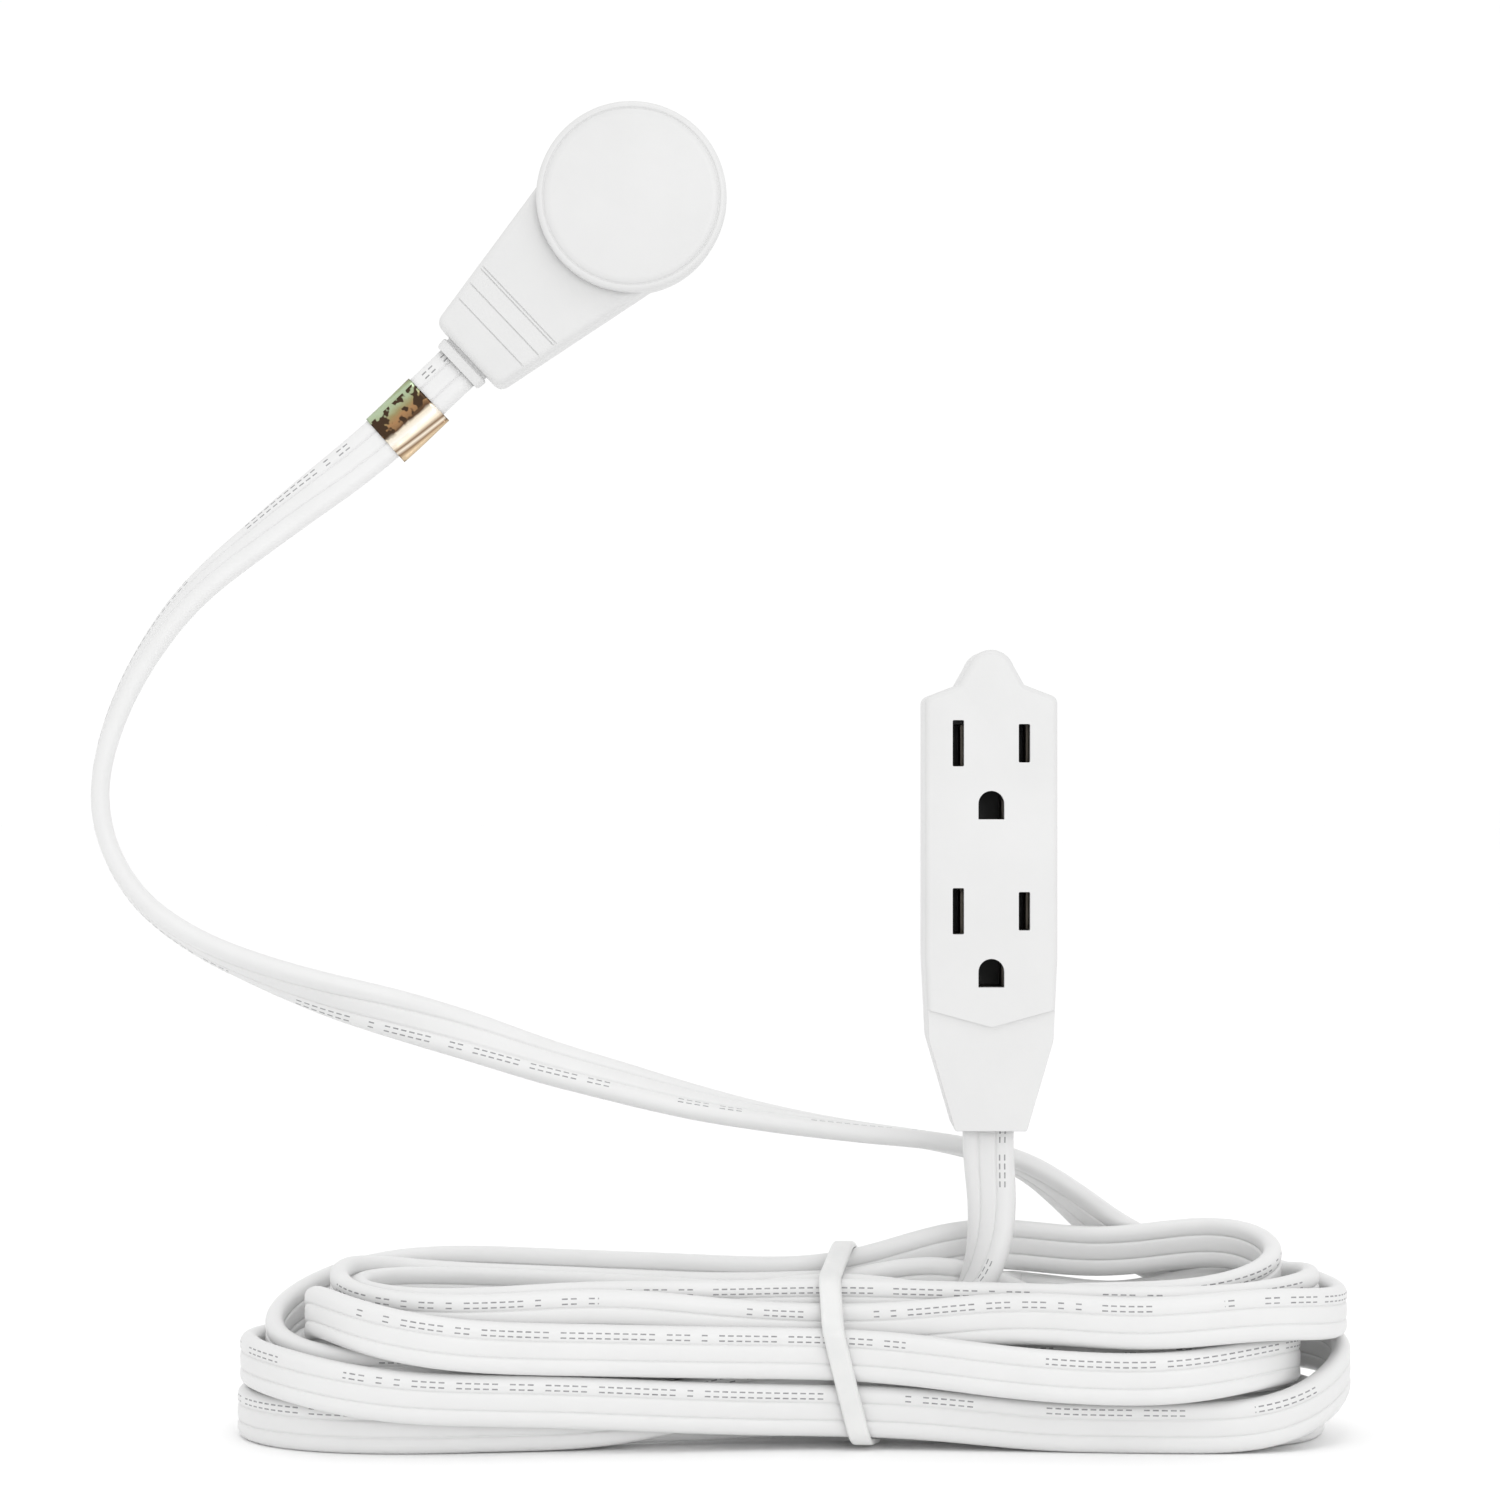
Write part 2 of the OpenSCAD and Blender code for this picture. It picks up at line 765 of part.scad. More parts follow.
rotor_cap();
pivot_spindle();
blade_carrier();
line_blade();
neutral_blade();
ground_pin();
line_ring();
neutral_ring();
ground_ring();
arm_front_shell();
arm_rear_shell();
line_wiper();
neutral_wiper();
ground_wiper();
wiper_crimps();
line_plug_wire();
neutral_plug_wire();
ground_plug_wire();
plug_strain_relief();
foil_label();
plug_lead();
cord_hank();
cable_tie();
receptacle_riser();
receptacle_front_shell();
receptacle_back_shell();
contact_carrier_front();
contact_carrier_back();
line_busbar();
neutral_busbar();
ground_busbar();
busbar_crimps();
line_outlet_wire();
neutral_outlet_wire();
ground_outlet_wire();
receptacle_strain_relief();
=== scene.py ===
import math

import bmesh
import bpy
import numpy as np
from mathutils import Matrix, Vector


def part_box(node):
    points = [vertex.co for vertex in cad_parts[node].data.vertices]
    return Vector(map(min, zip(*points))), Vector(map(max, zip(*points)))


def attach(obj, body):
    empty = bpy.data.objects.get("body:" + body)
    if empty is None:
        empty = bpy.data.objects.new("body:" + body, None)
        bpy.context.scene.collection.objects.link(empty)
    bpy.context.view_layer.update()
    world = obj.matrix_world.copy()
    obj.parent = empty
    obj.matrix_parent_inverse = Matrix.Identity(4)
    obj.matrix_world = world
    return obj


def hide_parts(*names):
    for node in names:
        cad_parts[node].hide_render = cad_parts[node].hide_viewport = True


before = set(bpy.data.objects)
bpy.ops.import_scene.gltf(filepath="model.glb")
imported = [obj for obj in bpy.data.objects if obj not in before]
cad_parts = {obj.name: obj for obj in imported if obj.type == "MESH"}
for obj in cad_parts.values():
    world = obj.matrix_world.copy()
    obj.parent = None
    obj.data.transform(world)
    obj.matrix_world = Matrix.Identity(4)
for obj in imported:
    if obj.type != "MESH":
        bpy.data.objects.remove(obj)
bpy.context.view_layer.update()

MM = 0.001
ROOT = "cord_set"
ROTOR = "plug_rotor"

HANK_LO, HANK_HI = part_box("cord_hank")
FLOOR_Z = HANK_LO[2] / MM
HANK_TOP = HANK_HI[2] / MM


# ---- Camera ----

CAMERA_PLACE = (0.0239, -0.775, -0.1115)
LENS = 90.8
SENSOR = 36


def make_camera():
    data = bpy.data.cameras.new("camera")
    data.lens = LENS
    data.sensor_width = SENSOR
    data.clip_start = 0.05
    camera = bpy.data.objects.new("camera", data)
    bpy.context.scene.collection.objects.link(camera)
    camera.location = CAMERA_PLACE
    camera.rotation_euler = (math.radians(90), 0, 0)
    bpy.context.scene.camera = camera


make_camera()

# ---- Cord: its route, all in millimetres ----

CORD_W = 10.0
CORD_T = 3.7
ARM_ANGLE = 43.5
ARM_REACH = 46.1
LEAD_DEPTH = 5.5
LANE = 3.85
FRONT_Y = -52.6
REAR_Y = -6.2
WAIST_FRONT_Y = -44.7
WAIST_REAR_Y = -19.3
LEFT_X = -35
RIGHT_X = 105
TIE_X = 42
TIE_FOOT_X = 46
TIE_LIFT = 1.5
TIE_LIFT_REACH = 14
TOP_REAR_HEIGHT = 29.5
ROUTE_STEP = 4
RING_STEP = 2.2
CURVE_STEPS = 24
BLEND_POINTS = 6

# How the strands settle. A pair is looked for within PAIR_REACH of each other and more than
# PAIR_SKIP points apart along the cord, and pushes where it is within SAME_PLACE along the strand.
SETTLE_ROUNDS = 260
PAIRS_EVERY = 10
PAIR_REACH = 15
PAIR_SKIP = 7
SAME_PLACE = 3.2
SIDE_GAP = 0.12
RISE_GAP = 0.1
SIDE_FAVOUR = 1.6
PUSH_SHARE = 0.55
HOME_PULL = 0.02
STIFFNESS = 0.4


def lead_start(distance, twist):
    a = math.radians(ARM_ANGLE)
    return (-distance * math.cos(a), -LEAD_DEPTH, -distance * math.sin(a), twist)


# Each row is x, y, z and the turn of the flat cord about its own line
LEAD = [
    lead_start(ARM_REACH + 3, 6),
    lead_start(ARM_REACH + 10, 10),
    lead_start(ARM_REACH + 26, 10),
    (-73.5, -6.5, -66.5, 43),
    (-90, -8, -81, 62),
    (-100.5, -8, -96, 72),
    (-106, -8, -109, 78),
    (-108, -8, -120, 81),
    (-106.5, -8, -130, 81),
    (-100, -8, -141.5, 78),
    (-89, -8, -150, 71),
    (-76, -8, -156, 59),
    (-62, -8, -161, 35),
    (-48, -8, -165, 6),
    (-33, -8, -169.5, -18),
    (-18, -8, -174.5, -38),
    (-2, -8, -179, -48),
    (13, -8, -183, -62),
    (30, -8, -186.5, -80),
    (46.5, -8, -189, -90),
    (62.5, -8, -191, -97),
    (79, -8, -195.5, -108),
    (89, -8, -202.5, -128),
    (98, -7.5, -210, -152),
    (108, -6.4, -215.5, -180),
]
RISER = [
    (45, -27.5, -232, -180),
    (56, -28.3, -229, -150),
    (63.5, -29.8, -222.5, -100),
    (68.2, -31.5, -216.5, -62),
    (70.4, -33.5, -210, -42),
    (71.2, -35.7, -201, -28),
    (70.3, -37.5, -189.9, -12),
    (70.3, -37.5, -184.9, -8),
]

# Heights above the floor. Each turn of the hank goes round the right end, along the front to
# the left, round the left end and back along the rear: right end (x, height), then (lane,
# height) on the front at the right, at the tie and at the left, left end (x, height), and
# (lane, height) on the rear at the left, at the tie and at the right. Lane 0 is the outer one.
TURNS = [
    ((140.3, 25), (0, 23.6), (1, 22.9), (1, 25.3), (-60, 26.5), (1, 26.5), (1, 25.5), (0, 16)),
    ((141.4, 15.7), (1, 6.5), (0, 7.4), (0, 11.3), (-75.1, 15.4), (0, 15.3), (0, 18), (1, 26.2)),
    ((135.3, 29), (1, 27), (2, 26.8), (2, 25.8), (-56.5, 27), (2, 26), (2, 25), (2, 15.3)),
    ((128, 15), (2, 16), (2, 16.5), (1, 15.3), (-70.8, 20), (0, 29), (0, 29), (1, 33.4)),
    ((128.5, 33), (2, 27), (3, 27), (2, 15.5), (-66, 15), (1, 15.3), (1, 15.2), (0, 5.6)),
    ((137, 5), (2, 5.2), (1, 12), (1, 5), (-76.5, 5), (0, 5), (0, 7.6), (2, 5)),
    ((133, 5), (3, 5), (2, 6), (2, 5), (-70, 5), (1, 5), (1, 5), (1, 13.8)),
    ((131.2, 13), (0, 14), (0, 18.3), (0, 21.3), (-63.5, 21), (3, 14), None, None),
]
END_STEPS = 5


def front(lane, waist=False):
    return (WAIST_FRONT_Y if waist else FRONT_Y) + LANE * lane


def rear(lane, waist=False):
    return (WAIST_REAR_Y if waist else REAR_Y) - LANE * lane


def loop_end(tip, start, end, side):
    """Half a round from start to end, each (y, height), whose far point is tip (x, height)."""
    (y0, h0), (y1, h1) = start, end
    r = abs(y1 - y0) / 2
    mid = (y0 + y1) / 2
    points = []
    for k in range(END_STEPS + 1):
        a = math.pi * (k / END_STEPS - 0.5)
        share = math.cos(a)
        h = (h0 if k < END_STEPS / 2 else h1) * (1 - share) + tip[1] * share
        points.append((tip[0] - side * r + side * r * share, mid + (y1 - y0) / 2 * math.sin(a), h))
    return points


def hank_points():
    points = []
    came_from = (REAR_Y, TOP_REAR_HEIGHT)
    for tip_r, f_r, f_tie, f_l, tip_l, b_l, b_tie, b_r in TURNS:
        points += loop_end(tip_r, came_from, (front(f_r[0]), f_r[1]), 1)
        points.append((RIGHT_X, front(f_r[0]), f_r[1]))
        points.append((TIE_X + 8, front(f_tie[0], True), f_tie[1]))
        points.append((TIE_X - 8, front(f_tie[0], True), f_tie[1]))
        points.append((LEFT_X, front(f_l[0]), f_l[1]))
        points += loop_end(tip_l, (front(f_l[0]), f_l[1]), (rear(b_l[0]), b_l[1]), -1)
        points.append((LEFT_X, rear(b_l[0]), b_l[1]))
        if b_tie is None:
            points += [(0, -24, 14), (25, -27, 14)]
            break
        points.append((TIE_X - 8, rear(b_tie[0], True), b_tie[1]))
        points.append((TIE_X + 8, rear(b_tie[0], True), b_tie[1]))
        points.append((RIGHT_X, rear(b_r[0]), b_r[1]))
        came_from = (rear(b_r[0]), b_r[1])
    return [(x, y, FLOOR_Z + h) for x, y, h in points]


def spline(points, step):
    """Points every step along a smooth curve through points (centripetal Catmull-Rom)."""
    p = np.asarray(points, float)
    p = np.vstack([2 * p[0] - p[1], p, 2 * p[-1] - p[-2]])
    knots = np.concatenate([[0], np.cumsum(np.sqrt(np.linalg.norm(np.diff(p[:, :3], axis=0), axis=1)))])
    dense = []
    for i in range(1, len(p) - 2):
        t0, t1, t2, t3 = knots[i - 1:i + 3]
        t = np.linspace(t1, t2, CURVE_STEPS, endpoint=False)[:, None]
        a1 = (t1 - t) / (t1 - t0) * p[i - 1] + (t - t0) / (t1 - t0) * p[i]
        a2 = (t2 - t) / (t2 - t1) * p[i] + (t - t1) / (t2 - t1) * p[i + 1]
        a3 = (t3 - t) / (t3 - t2) * p[i + 1] + (t - t2) / (t3 - t2) * p[i + 2]
        b1 = (t2 - t) / (t2 - t0) * a1 + (t - t0) / (t2 - t0) * a2
        b2 = (t3 - t) / (t3 - t1) * a2 + (t - t1) / (t3 - t1) * a3
        dense.append((t2 - t) / (t2 - t1) * b1 + (t - t1) / (t2 - t1) * b2)
    dense = np.vstack(dense + [p[-2][None]])
    return resample(dense, step)


def resample(points, step):
    along = np.concatenate([[0], np.cumsum(np.linalg.norm(np.diff(points[:, :3], axis=0), axis=1))])
    n = max(2, int(round(along[-1] / step)) + 1)
    at = np.linspace(0, along[-1], n)
    return np.column_stack([np.interp(at, along, points[:, k]) for k in range(points.shape[1])])


def half_sizes(across, face, free, axis, loose):
    """Half a strand's size along an axis: loose in the hank, and from its turn outside it."""
    turned = np.abs(across[:, axis]) * CORD_W / 2 + np.abs(face[:, axis]) * CORD_T / 2
    return np.where(free < 1, turned, loose)


def close_pairs(p, free):
    """Pairs of points that are near each other but not neighbours along the cord."""
    index = np.arange(len(p))
    gap = np.linalg.norm(p[:, None] - p[None], axis=2)
    i, j = np.where((gap < PAIR_REACH) & (np.abs(index[:, None] - index[None]) > PAIR_SKIP))
    keep = (i < j) & ((free[i] > 0) | (free[j] > 0))
    return i[keep], j[keep]


def pushes(p, i, j, half_side, half_rise):
    """How far each point is pushed by the strands that it shares space with."""
    t = unit(np.gradient(p, axis=0))
    n = unit(np.column_stack([t[:, 1], -t[:, 0], np.full(len(p), 1e-9)]))
    d = p[j] - p[i]
    near = np.abs((d * t[i]).sum(1)) < SAME_PLACE
    side = (d * n[i]).sum(1)
    rise = d[:, 2]
    over_n = half_side[i] + half_side[j] + SIDE_GAP - np.abs(side)
    over_z = half_rise[i] + half_rise[j] + RISE_GAP - np.abs(rise)
    hit = near & (over_n > 0) & (over_z > 0)
    by_side = hit & (over_n * SIDE_FAVOUR <= over_z)
    by_rise = hit & ~by_side
    push = np.zeros_like(p)
    count = np.zeros(len(p))
    for mask, vec in (
        (by_side, n[i] * (np.sign(side) * over_n)[:, None]),
        (by_rise, np.array([[0, 0, 1]]) * (np.sign(rise) * over_z)[:, None]),
    ):
        np.add.at(push, j[mask], vec[mask] / 2)
        np.add.at(push, i[mask], -vec[mask] / 2)
        np.add.at(count, j[mask], 1)
        np.add.at(count, i[mask], 1)
    return push / np.maximum(count, 1)[:, None]


def straighten(p, free):
    """Eases bends that are sharper than their neighbours', as the cord's stiffness does."""
    mid = np.zeros_like(p)
    mid[1:-1] = (p[:-2] + p[2:]) / 2 - p[1:-1]
    bend = np.zeros_like(p)
    bend[2:-2] = -(mid[1:-3] + mid[3:-1]) / 2 + mid[2:-2]
    return p + free[:, None] * STIFFNESS * bend


def settle(p, across, free):
    """Moves the hank's strands apart where flat cords standing on edge share space.

    A few crossings inside the hank still overlap at the end.
    """
    home = p.copy()
    low = FLOOR_Z + CORD_W / 2 + TIE_LIFT * np.exp(-((p[:, 0] - TIE_FOOT_X) / TIE_LIFT_REACH) ** 2)
    face = np.cross(unit(np.gradient(p, axis=0)), across)
    half_side = half_sizes(across, face, free, 1, CORD_T / 2)
    half_rise = half_sizes(across, face, free, 2, CORD_W / 2)
    for step in range(SETTLE_ROUNDS):
        if step % PAIRS_EVERY == 0:
            i, j = close_pairs(p, free)
        push = pushes(p, i, j, half_side, half_rise)
        spread = push.copy()
        for k in (1, 2, 3):
            spread[k:] += (1 - k / 4) * push[:-k]
            spread[:-k] += (1 - k / 4) * push[k:]
        p = p + PUSH_SHARE * free[:, None] * spread
        ease = 1 - step / SETTLE_ROUNDS
        p += free[:, None] * HOME_PULL * ease * (home - p)
        for _ in range(2):
            p = straighten(p, free)
        p[:, 2] = np.where(free > 0, np.maximum(p[:, 2], low), p[:, 2])
    return p


def unit(v):
    return v / np.linalg.norm(v, axis=-1)[..., None]


def twist_of(p, lead, riser):
    """Direction across the cord's width: from the rows' turns outside the hank, down inside it."""
    t = unit(np.gradient(p, axis=0))
    across = np.tile([0.0, 0.0, -1.0], (len(p), 1))
    for part, rows in ((slice(0, len(lead)), lead), (slice(len(p) - len(riser), len(p)), riser)):
        a = np.radians(rows[:, 3])[:, None]
        m = unit(np.cross(t[part], [0, 1, 0]))
        across[part] = np.cos(a) * m - np.sin(a) * np.cross(m, t[part])
    return across


def smoothed(rows, rounds):
    """Rows averaged with their neighbours, with the first and last kept."""
    for _ in range(rounds):
        rows[1:-1] = (rows[:-2] + 2 * rows[1:-1] + rows[2:]) / 4
    return rows


def cord_frames():
    """Centreline, across-the-width and outward directions of the whole cord, from the plug."""
    lead = spline(LEAD, ROUTE_STEP)
    riser = spline(RISER, ROUTE_STEP)
    route = [tuple(lead[-1, :3])] + hank_points() + [tuple(riser[0, :3])]
    p = np.vstack([lead[:, :3], spline(route, ROUTE_STEP)[1:-1], riser[:, :3]])
    free = np.ones(len(p))
    free[:len(lead)] = 0
    free[-len(riser):] = 0
    for k in range(BLEND_POINTS):
        free[len(lead) + k] = k / BLEND_POINTS
        free[-len(riser) - 1 - k] = k / BLEND_POINTS
    p = settle(p, twist_of(p, lead, riser), free)
    across = smoothed(twist_of(p, lead, riser), 6)
    fine = smoothed(resample(np.column_stack([p, across]), RING_STEP), 3)
    p, across = fine[:, :3], fine[:, 3:]
    t = unit(np.gradient(p, axis=0))
    across = unit(across - (across * t).sum(1)[:, None] * t)
    return p, across, np.cross(t, across)


CORD_P, CORD_ACROSS, CORD_FACE = cord_frames()
CORD_ALONG = np.concatenate([[0], np.cumsum(np.linalg.norm(np.diff(CORD_P, axis=0), axis=1))])


# ---- Materials ----

def new_material(name, color, roughness, metallic=0.0):
    material = bpy.data.materials.new(name)
    material.use_nodes = True
    shader = material.node_tree.nodes["Principled BSDF"]
    shader.inputs["Base Color"].default_value = (*color, 1)
    shader.inputs["Roughness"].default_value = roughness
    shader.inputs["Metallic"].default_value = metallic
    return material, shader


def node(material, kind, **values):
    """A shader node, with its settings and its inputs' values."""
    made = material.node_tree.nodes.new("ShaderNode" + kind)
    for key, value in values.items():
        if hasattr(made, key):
            setattr(made, key, value)
        else:
            made.inputs[key.replace("_", " ")].default_value = value
    return made


def link(material, source, target):
    material.node_tree.links.new(source, target)


def ramp(material, source, stops):
    made = node(material, "ValToRGB")
    bar = made.color_ramp
    while len(bar.elements) < len(stops):
        bar.elements.new(0.5)
    for element, (place, color) in zip(bar.elements, stops):
        element.position = place
        element.color = (*color, 1)
    link(material, source, made.inputs["Fac"])
    return made.outputs["Color"]


def grain(material, scale, detail=4.0, stretch=None):
    """Noise in object space, stretched along an axis where stretch is given."""
    place = node(material, "TexCoord").outputs["Object"]
    if stretch:
        mapping = node(material, "Mapping")
        mapping.inputs["Scale"].default_value = stretch
        link(material, place, mapping.inputs["Vector"])
        place = mapping.outputs["Vector"]
    noise = node(material, "TexNoise", Scale=scale, Detail=detail, Roughness=0.6)
    link(material, place, noise.inputs["Vector"])
    return noise.outputs["Fac"]


def bump(material, shader, height, distance, strength=1.0):
    made = node(material, "Bump", Distance=distance, Strength=strength)
    link(material, height, made.inputs["Height"])
    link(material, made.outputs["Normal"], shader.inputs["Normal"])


def tint(color, amount):
    return tuple(max(0.0, min(1.0, c * amount)) for c in color)


def moulded(name, color, roughness, fine=800, coarse=45, depth=0.00001):
    """Moulded plastic: faint flow clouds in its colour and gloss, and a fine surface."""
    material, shader = new_material(name, color, roughness)
    clouds = grain(material, coarse, 3.0)
    link(material, ramp(material, clouds, [(0.3, tint(color, 0.975)), (0.7, tint(color, 1.015))]),
         shader.inputs["Base Color"])
    gloss = node(material, "MapRange")
    gloss.inputs["To Min"].default_value = roughness - 0.05
    gloss.inputs["To Max"].default_value = roughness + 0.07
    link(material, grain(material, coarse * 6, 5.0), gloss.inputs["Value"])
    link(material, gloss.outputs["Result"], shader.inputs["Roughness"])
    bump(material, shader, grain(material, fine, 3.0), depth)
    return material


def metal(name, color, roughness, stretch=(1, 0.06, 1)):
    """Drawn or stamped metal with fine lines along it and a little tarnish."""
    material, shader = new_material(name, color, roughness, 1.0)
    tarnish = grain(material, 160, 6.0)
    link(material, ramp(material, tarnish, [(0.35, tint(color, 0.86)), (0.7, color)]),
         shader.inputs["Base Color"])
    lines = grain(material, 2600, 2.0, stretch)
    gloss = node(material, "MapRange")
    gloss.inputs["To Min"].default_value = roughness - 0.06
    gloss.inputs["To Max"].default_value = roughness + 0.1
    link(material, lines, gloss.inputs["Value"])
    link(material, gloss.outputs["Result"], shader.inputs["Roughness"])
    bump(material, shader, lines, 0.00001)
    return material


def mixed(material, share, base, color):
    """Base, turned to a plain colour where share is 1."""
    made = node(material, "Mix", data_type="RGBA")
    share_in, base_in, color_in, color_out = 0, 6, 7, 2
    link(material, share, made.inputs[share_in])
    link(material, base, made.inputs[base_in])
    made.inputs[color_in].default_value = (*color, 1)
    return made.outputs[color_out]


def maths(material, operation, a, b=None):
    made = node(material, "Math", operation=operation)
    for k, value in enumerate([a] if b is None else [a, b]):
        if isinstance(value, (int, float)):
            made.inputs[k].default_value = value
        else:
            link(material, value, made.inputs[k])
    return made.outputs[0]


def cord_jacket():
    """White vinyl with two rows of grey ink dashes near one edge of one side."""
    white = (0.735, 0.735, 0.733)
    ink = (0.10, 0.10, 0.11)
    material, shader = new_material("cord_vinyl", white, 0.42)
    place = node(material, "Attribute", attribute_name="cord_place")
    split = node(material, "SeparateXYZ")
    link(material, place.outputs["Vector"], split.inputs[0])
    along, across, side = split.outputs
    dash, word, band, band_at, stroke = 1.7, 13.5, 0.5, -3.0, 0.14
    dash_share, dashes_left_out, words_left_out = 0.66, 0.16, 0.2

    def both(a, b):
        return maths(material, "MULTIPLY", a, b)

    def random_above(size, limit):
        noise = node(material, "TexWhiteNoise", noise_dimensions="1D")
        link(material, maths(material, "FLOOR", maths(material, "DIVIDE", along, size)), noise.inputs["W"])
        return maths(material, "GREATER_THAN", noise.outputs["Value"], limit)

    cell = maths(material, "FRACT", maths(material, "DIVIDE", along, dash))
    shown = maths(material, "LESS_THAN", cell, dash_share)
    shown = both(shown, random_above(dash, dashes_left_out))
    shown = both(shown, random_above(word, words_left_out))
    offset = maths(material, "ABSOLUTE", maths(material, "SUBTRACT", across, band_at))
    stroke_at = maths(material, "ABSOLUTE", maths(material, "SUBTRACT", offset, band))
    shown = both(shown, maths(material, "LESS_THAN", stroke_at, stroke))
    shown = both(shown, maths(material, "GREATER_THAN", side, 0.5))
    faded = grain(material, 900, 3.0)
    shown = both(shown, maths(material, "ADD", maths(material, "MULTIPLY", faded, 0.6), 0.4))
    clouds = grain(material, 60, 3.0)
    base = ramp(material, clouds, [(0.3, tint(white, 0.98)), (0.7, tint(white, 1.01))])
    link(material, mixed(material, shown, base, ink), shader.inputs["Base Color"])
    bump(material, shader, grain(material, 700, 2.0), 0.00001)
    shader.inputs["Subsurface Weight"].default_value = 0.12
    shader.inputs["Subsurface Radius"].default_value = (0.0015, 0.0015, 0.0015)
    return material


def iridescent_foil():
    """Thin foil: a green side with dark worn blotches, then brown, then a bright cream band along the fold
    that is a painted highlight.
    """
    material, shader = new_material("iridescent_foil", (0.6, 0.5, 0.35), 0.24, 0.9)
    place = node(material, "Attribute", attribute_name="cord_place")
    split = node(material, "SeparateXYZ")
    link(material, place.outputs["Vector"], split.inputs[0])
    along, across, _ = split.outputs
    share = maths(material, "ADD", maths(material, "DIVIDE", across, 13.0), 0.43)
    fade = node(material, "MapRange")
    fade.inputs["From Min"].default_value = 0.5
    fade.inputs["From Max"].default_value = 0.6
    fade.inputs["To Min"].default_value = 1.0
    fade.inputs["To Max"].default_value = 0.0
    link(material, share, fade.inputs["Value"])
    patches = maths(material, "MULTIPLY", maths(material, "SUBTRACT", grain(material, 260, 2.0), 0.5), 0.22)
    shift = maths(material, "MULTIPLY", patches, fade.outputs["Result"])
    # The cream stops from 0.62 to 0.80 are a painted highlight along the fold, not the foil's own colour
    foil_bands_with_painted_highlight = [
        (0.02, (0.12, 0.08, 0.04)), (0.07, (0.30, 0.34, 0.17)), (0.15, (0.46, 0.56, 0.38)),
        (0.27, (0.40, 0.46, 0.28)), (0.36, (0.34, 0.28, 0.13)), (0.44, (0.40, 0.22, 0.10)),
        (0.52, (0.30, 0.17, 0.08)), (0.575, (0.12, 0.06, 0.03)), (0.62, (0.88, 0.78, 0.62)),
        (0.72, (0.98, 0.94, 0.86)), (0.80, (0.86, 0.74, 0.58)), (0.845, (0.22, 0.13, 0.07)),
        (0.875, (0.90, 0.80, 0.66)), (0.91, (0.26, 0.16, 0.09)), (0.95, (0.62, 0.48, 0.32)),
    ]
    lean = maths(material, "MULTIPLY", along, 0.006)
    at = maths(material, "ADD", maths(material, "ADD", share, shift), lean)
    base = ramp(material, at, foil_bands_with_painted_highlight)
    blotch = ramp(material, grain(material, 620, 1.0), [(0.47, (0, 0, 0)), (0.53, (1, 1, 1))])
    inside = maths(material, "MULTIPLY", maths(material, "GREATER_THAN", share, 0.16), fade.outputs["Result"])
    marked = mixed(material, maths(material, "MULTIPLY", blotch, inside), base, (0.06, 0.035, 0.02))
    link(material, marked, shader.inputs["Base Color"])
    bump(material, shader, grain(material, 500, 2.0), 0.00003)
    return material


def nylon():
    material, shader = new_material("natural_nylon", (0.80, 0.80, 0.79), 0.32)
    shader.inputs["Transmission Weight"].default_value = 0.12
    shader.inputs["IOR"].default_value = 1.5
    shader.inputs["Subsurface Weight"].default_value = 0.2
    shader.inputs["Subsurface Radius"].default_value = (0.002, 0.002, 0.002)
    clouds = grain(material, 120, 3.0)
    link(material, ramp(material, clouds, [(0.3, (0.78, 0.785, 0.78)), (0.7, (0.84, 0.84, 0.83))]),
         shader.inputs["Base Color"])
    bump(material, shader, grain(material, 1400, 3.0), 0.00003)
    return material


WHITE_PLASTIC = moulded("white_plastic", (0.672, 0.672, 0.67), 0.36)
SOFT_PLASTIC = moulded("white_soft_plastic", (0.69, 0.69, 0.688), 0.45)
BLACK_PLASTIC = moulded("black_plastic", (0.012, 0.012, 0.013), 0.45)
NICKEL = metal("nickel_plate", (0.72, 0.70, 0.66), 0.24)
STEEL = metal("turned_steel", (0.56, 0.56, 0.57), 0.3)
BRASS = metal("stamped_brass", (0.80, 0.62, 0.30), 0.3)
# Brass darkened as painted shade, for the shade inside the outlet slots; the contacts are not aged
BRASS_PAINTED_SHADE = metal("brass_painted_shade", (0.20, 0.18, 0.15), 0.36)
WIRE_BLACK = moulded("wire_black", (0.02, 0.02, 0.02), 0.45)
WIRE_WHITE = moulded("wire_white", (0.78, 0.78, 0.76), 0.45)
WIRE_GREEN = moulded("wire_green", (0.03, 0.26, 0.09), 0.45)
CORD_VINYL = cord_jacket()
FOIL = iridescent_foil()
NYLON = nylon()


# ---- Mesh building ----

def make_object(name, verts, faces, material, smooth=True):
    """A mesh object from points in millimetres."""
    mesh = bpy.data.meshes.new(name)
    mesh.from_pydata([tuple(float(c) * MM for c in v) for v in verts], [], faces)
    mesh.update()
    obj = bpy.data.objects.new(name, mesh)
    bpy.context.scene.collection.objects.link(obj)
    obj.data.materials.append(material)
    bm = bmesh.new()
    bm.from_mesh(mesh)
    bmesh.ops.recalc_face_normals(bm, faces=bm.faces)
    bm.to_mesh(mesh)
    bm.free()
    if smooth:
        mesh.shade_smooth()
    return obj


def skin_faces(rings, sides, closed_rings=False, open_section=False):
    faces = []
    last = rings if closed_rings else rings - 1
    for i in range(last):
        for j in range(sides - 1 if open_section else sides):
            a, b = i * sides + j, i * sides + (j + 1) % sides
            c, d = (i + 1) % rings * sides + (j + 1) % sides, (i + 1) % rings * sides + j
            faces.append((a, b, c, d))
    return faces


def loft(name, rings, material):
    """A closed solid through rings, each an (n, 3) array of the same length."""
    sides = len(rings[0])
    faces = skin_faces(len(rings), sides)
    faces.append(tuple(range(sides))[::-1])
    faces.append(tuple((len(rings) - 1) * sides + j for j in range(sides)))
    return make_object(name, np.vstack(rings), faces, material)


def outward(outline):
    """Unit normals of a closed outline that runs anticlockwise."""
    t = np.roll(outline, -1, axis=0) - np.roll(outline, 1, axis=0)
    return unit(np.column_stack([t[:, 1], -t[:, 0]]))


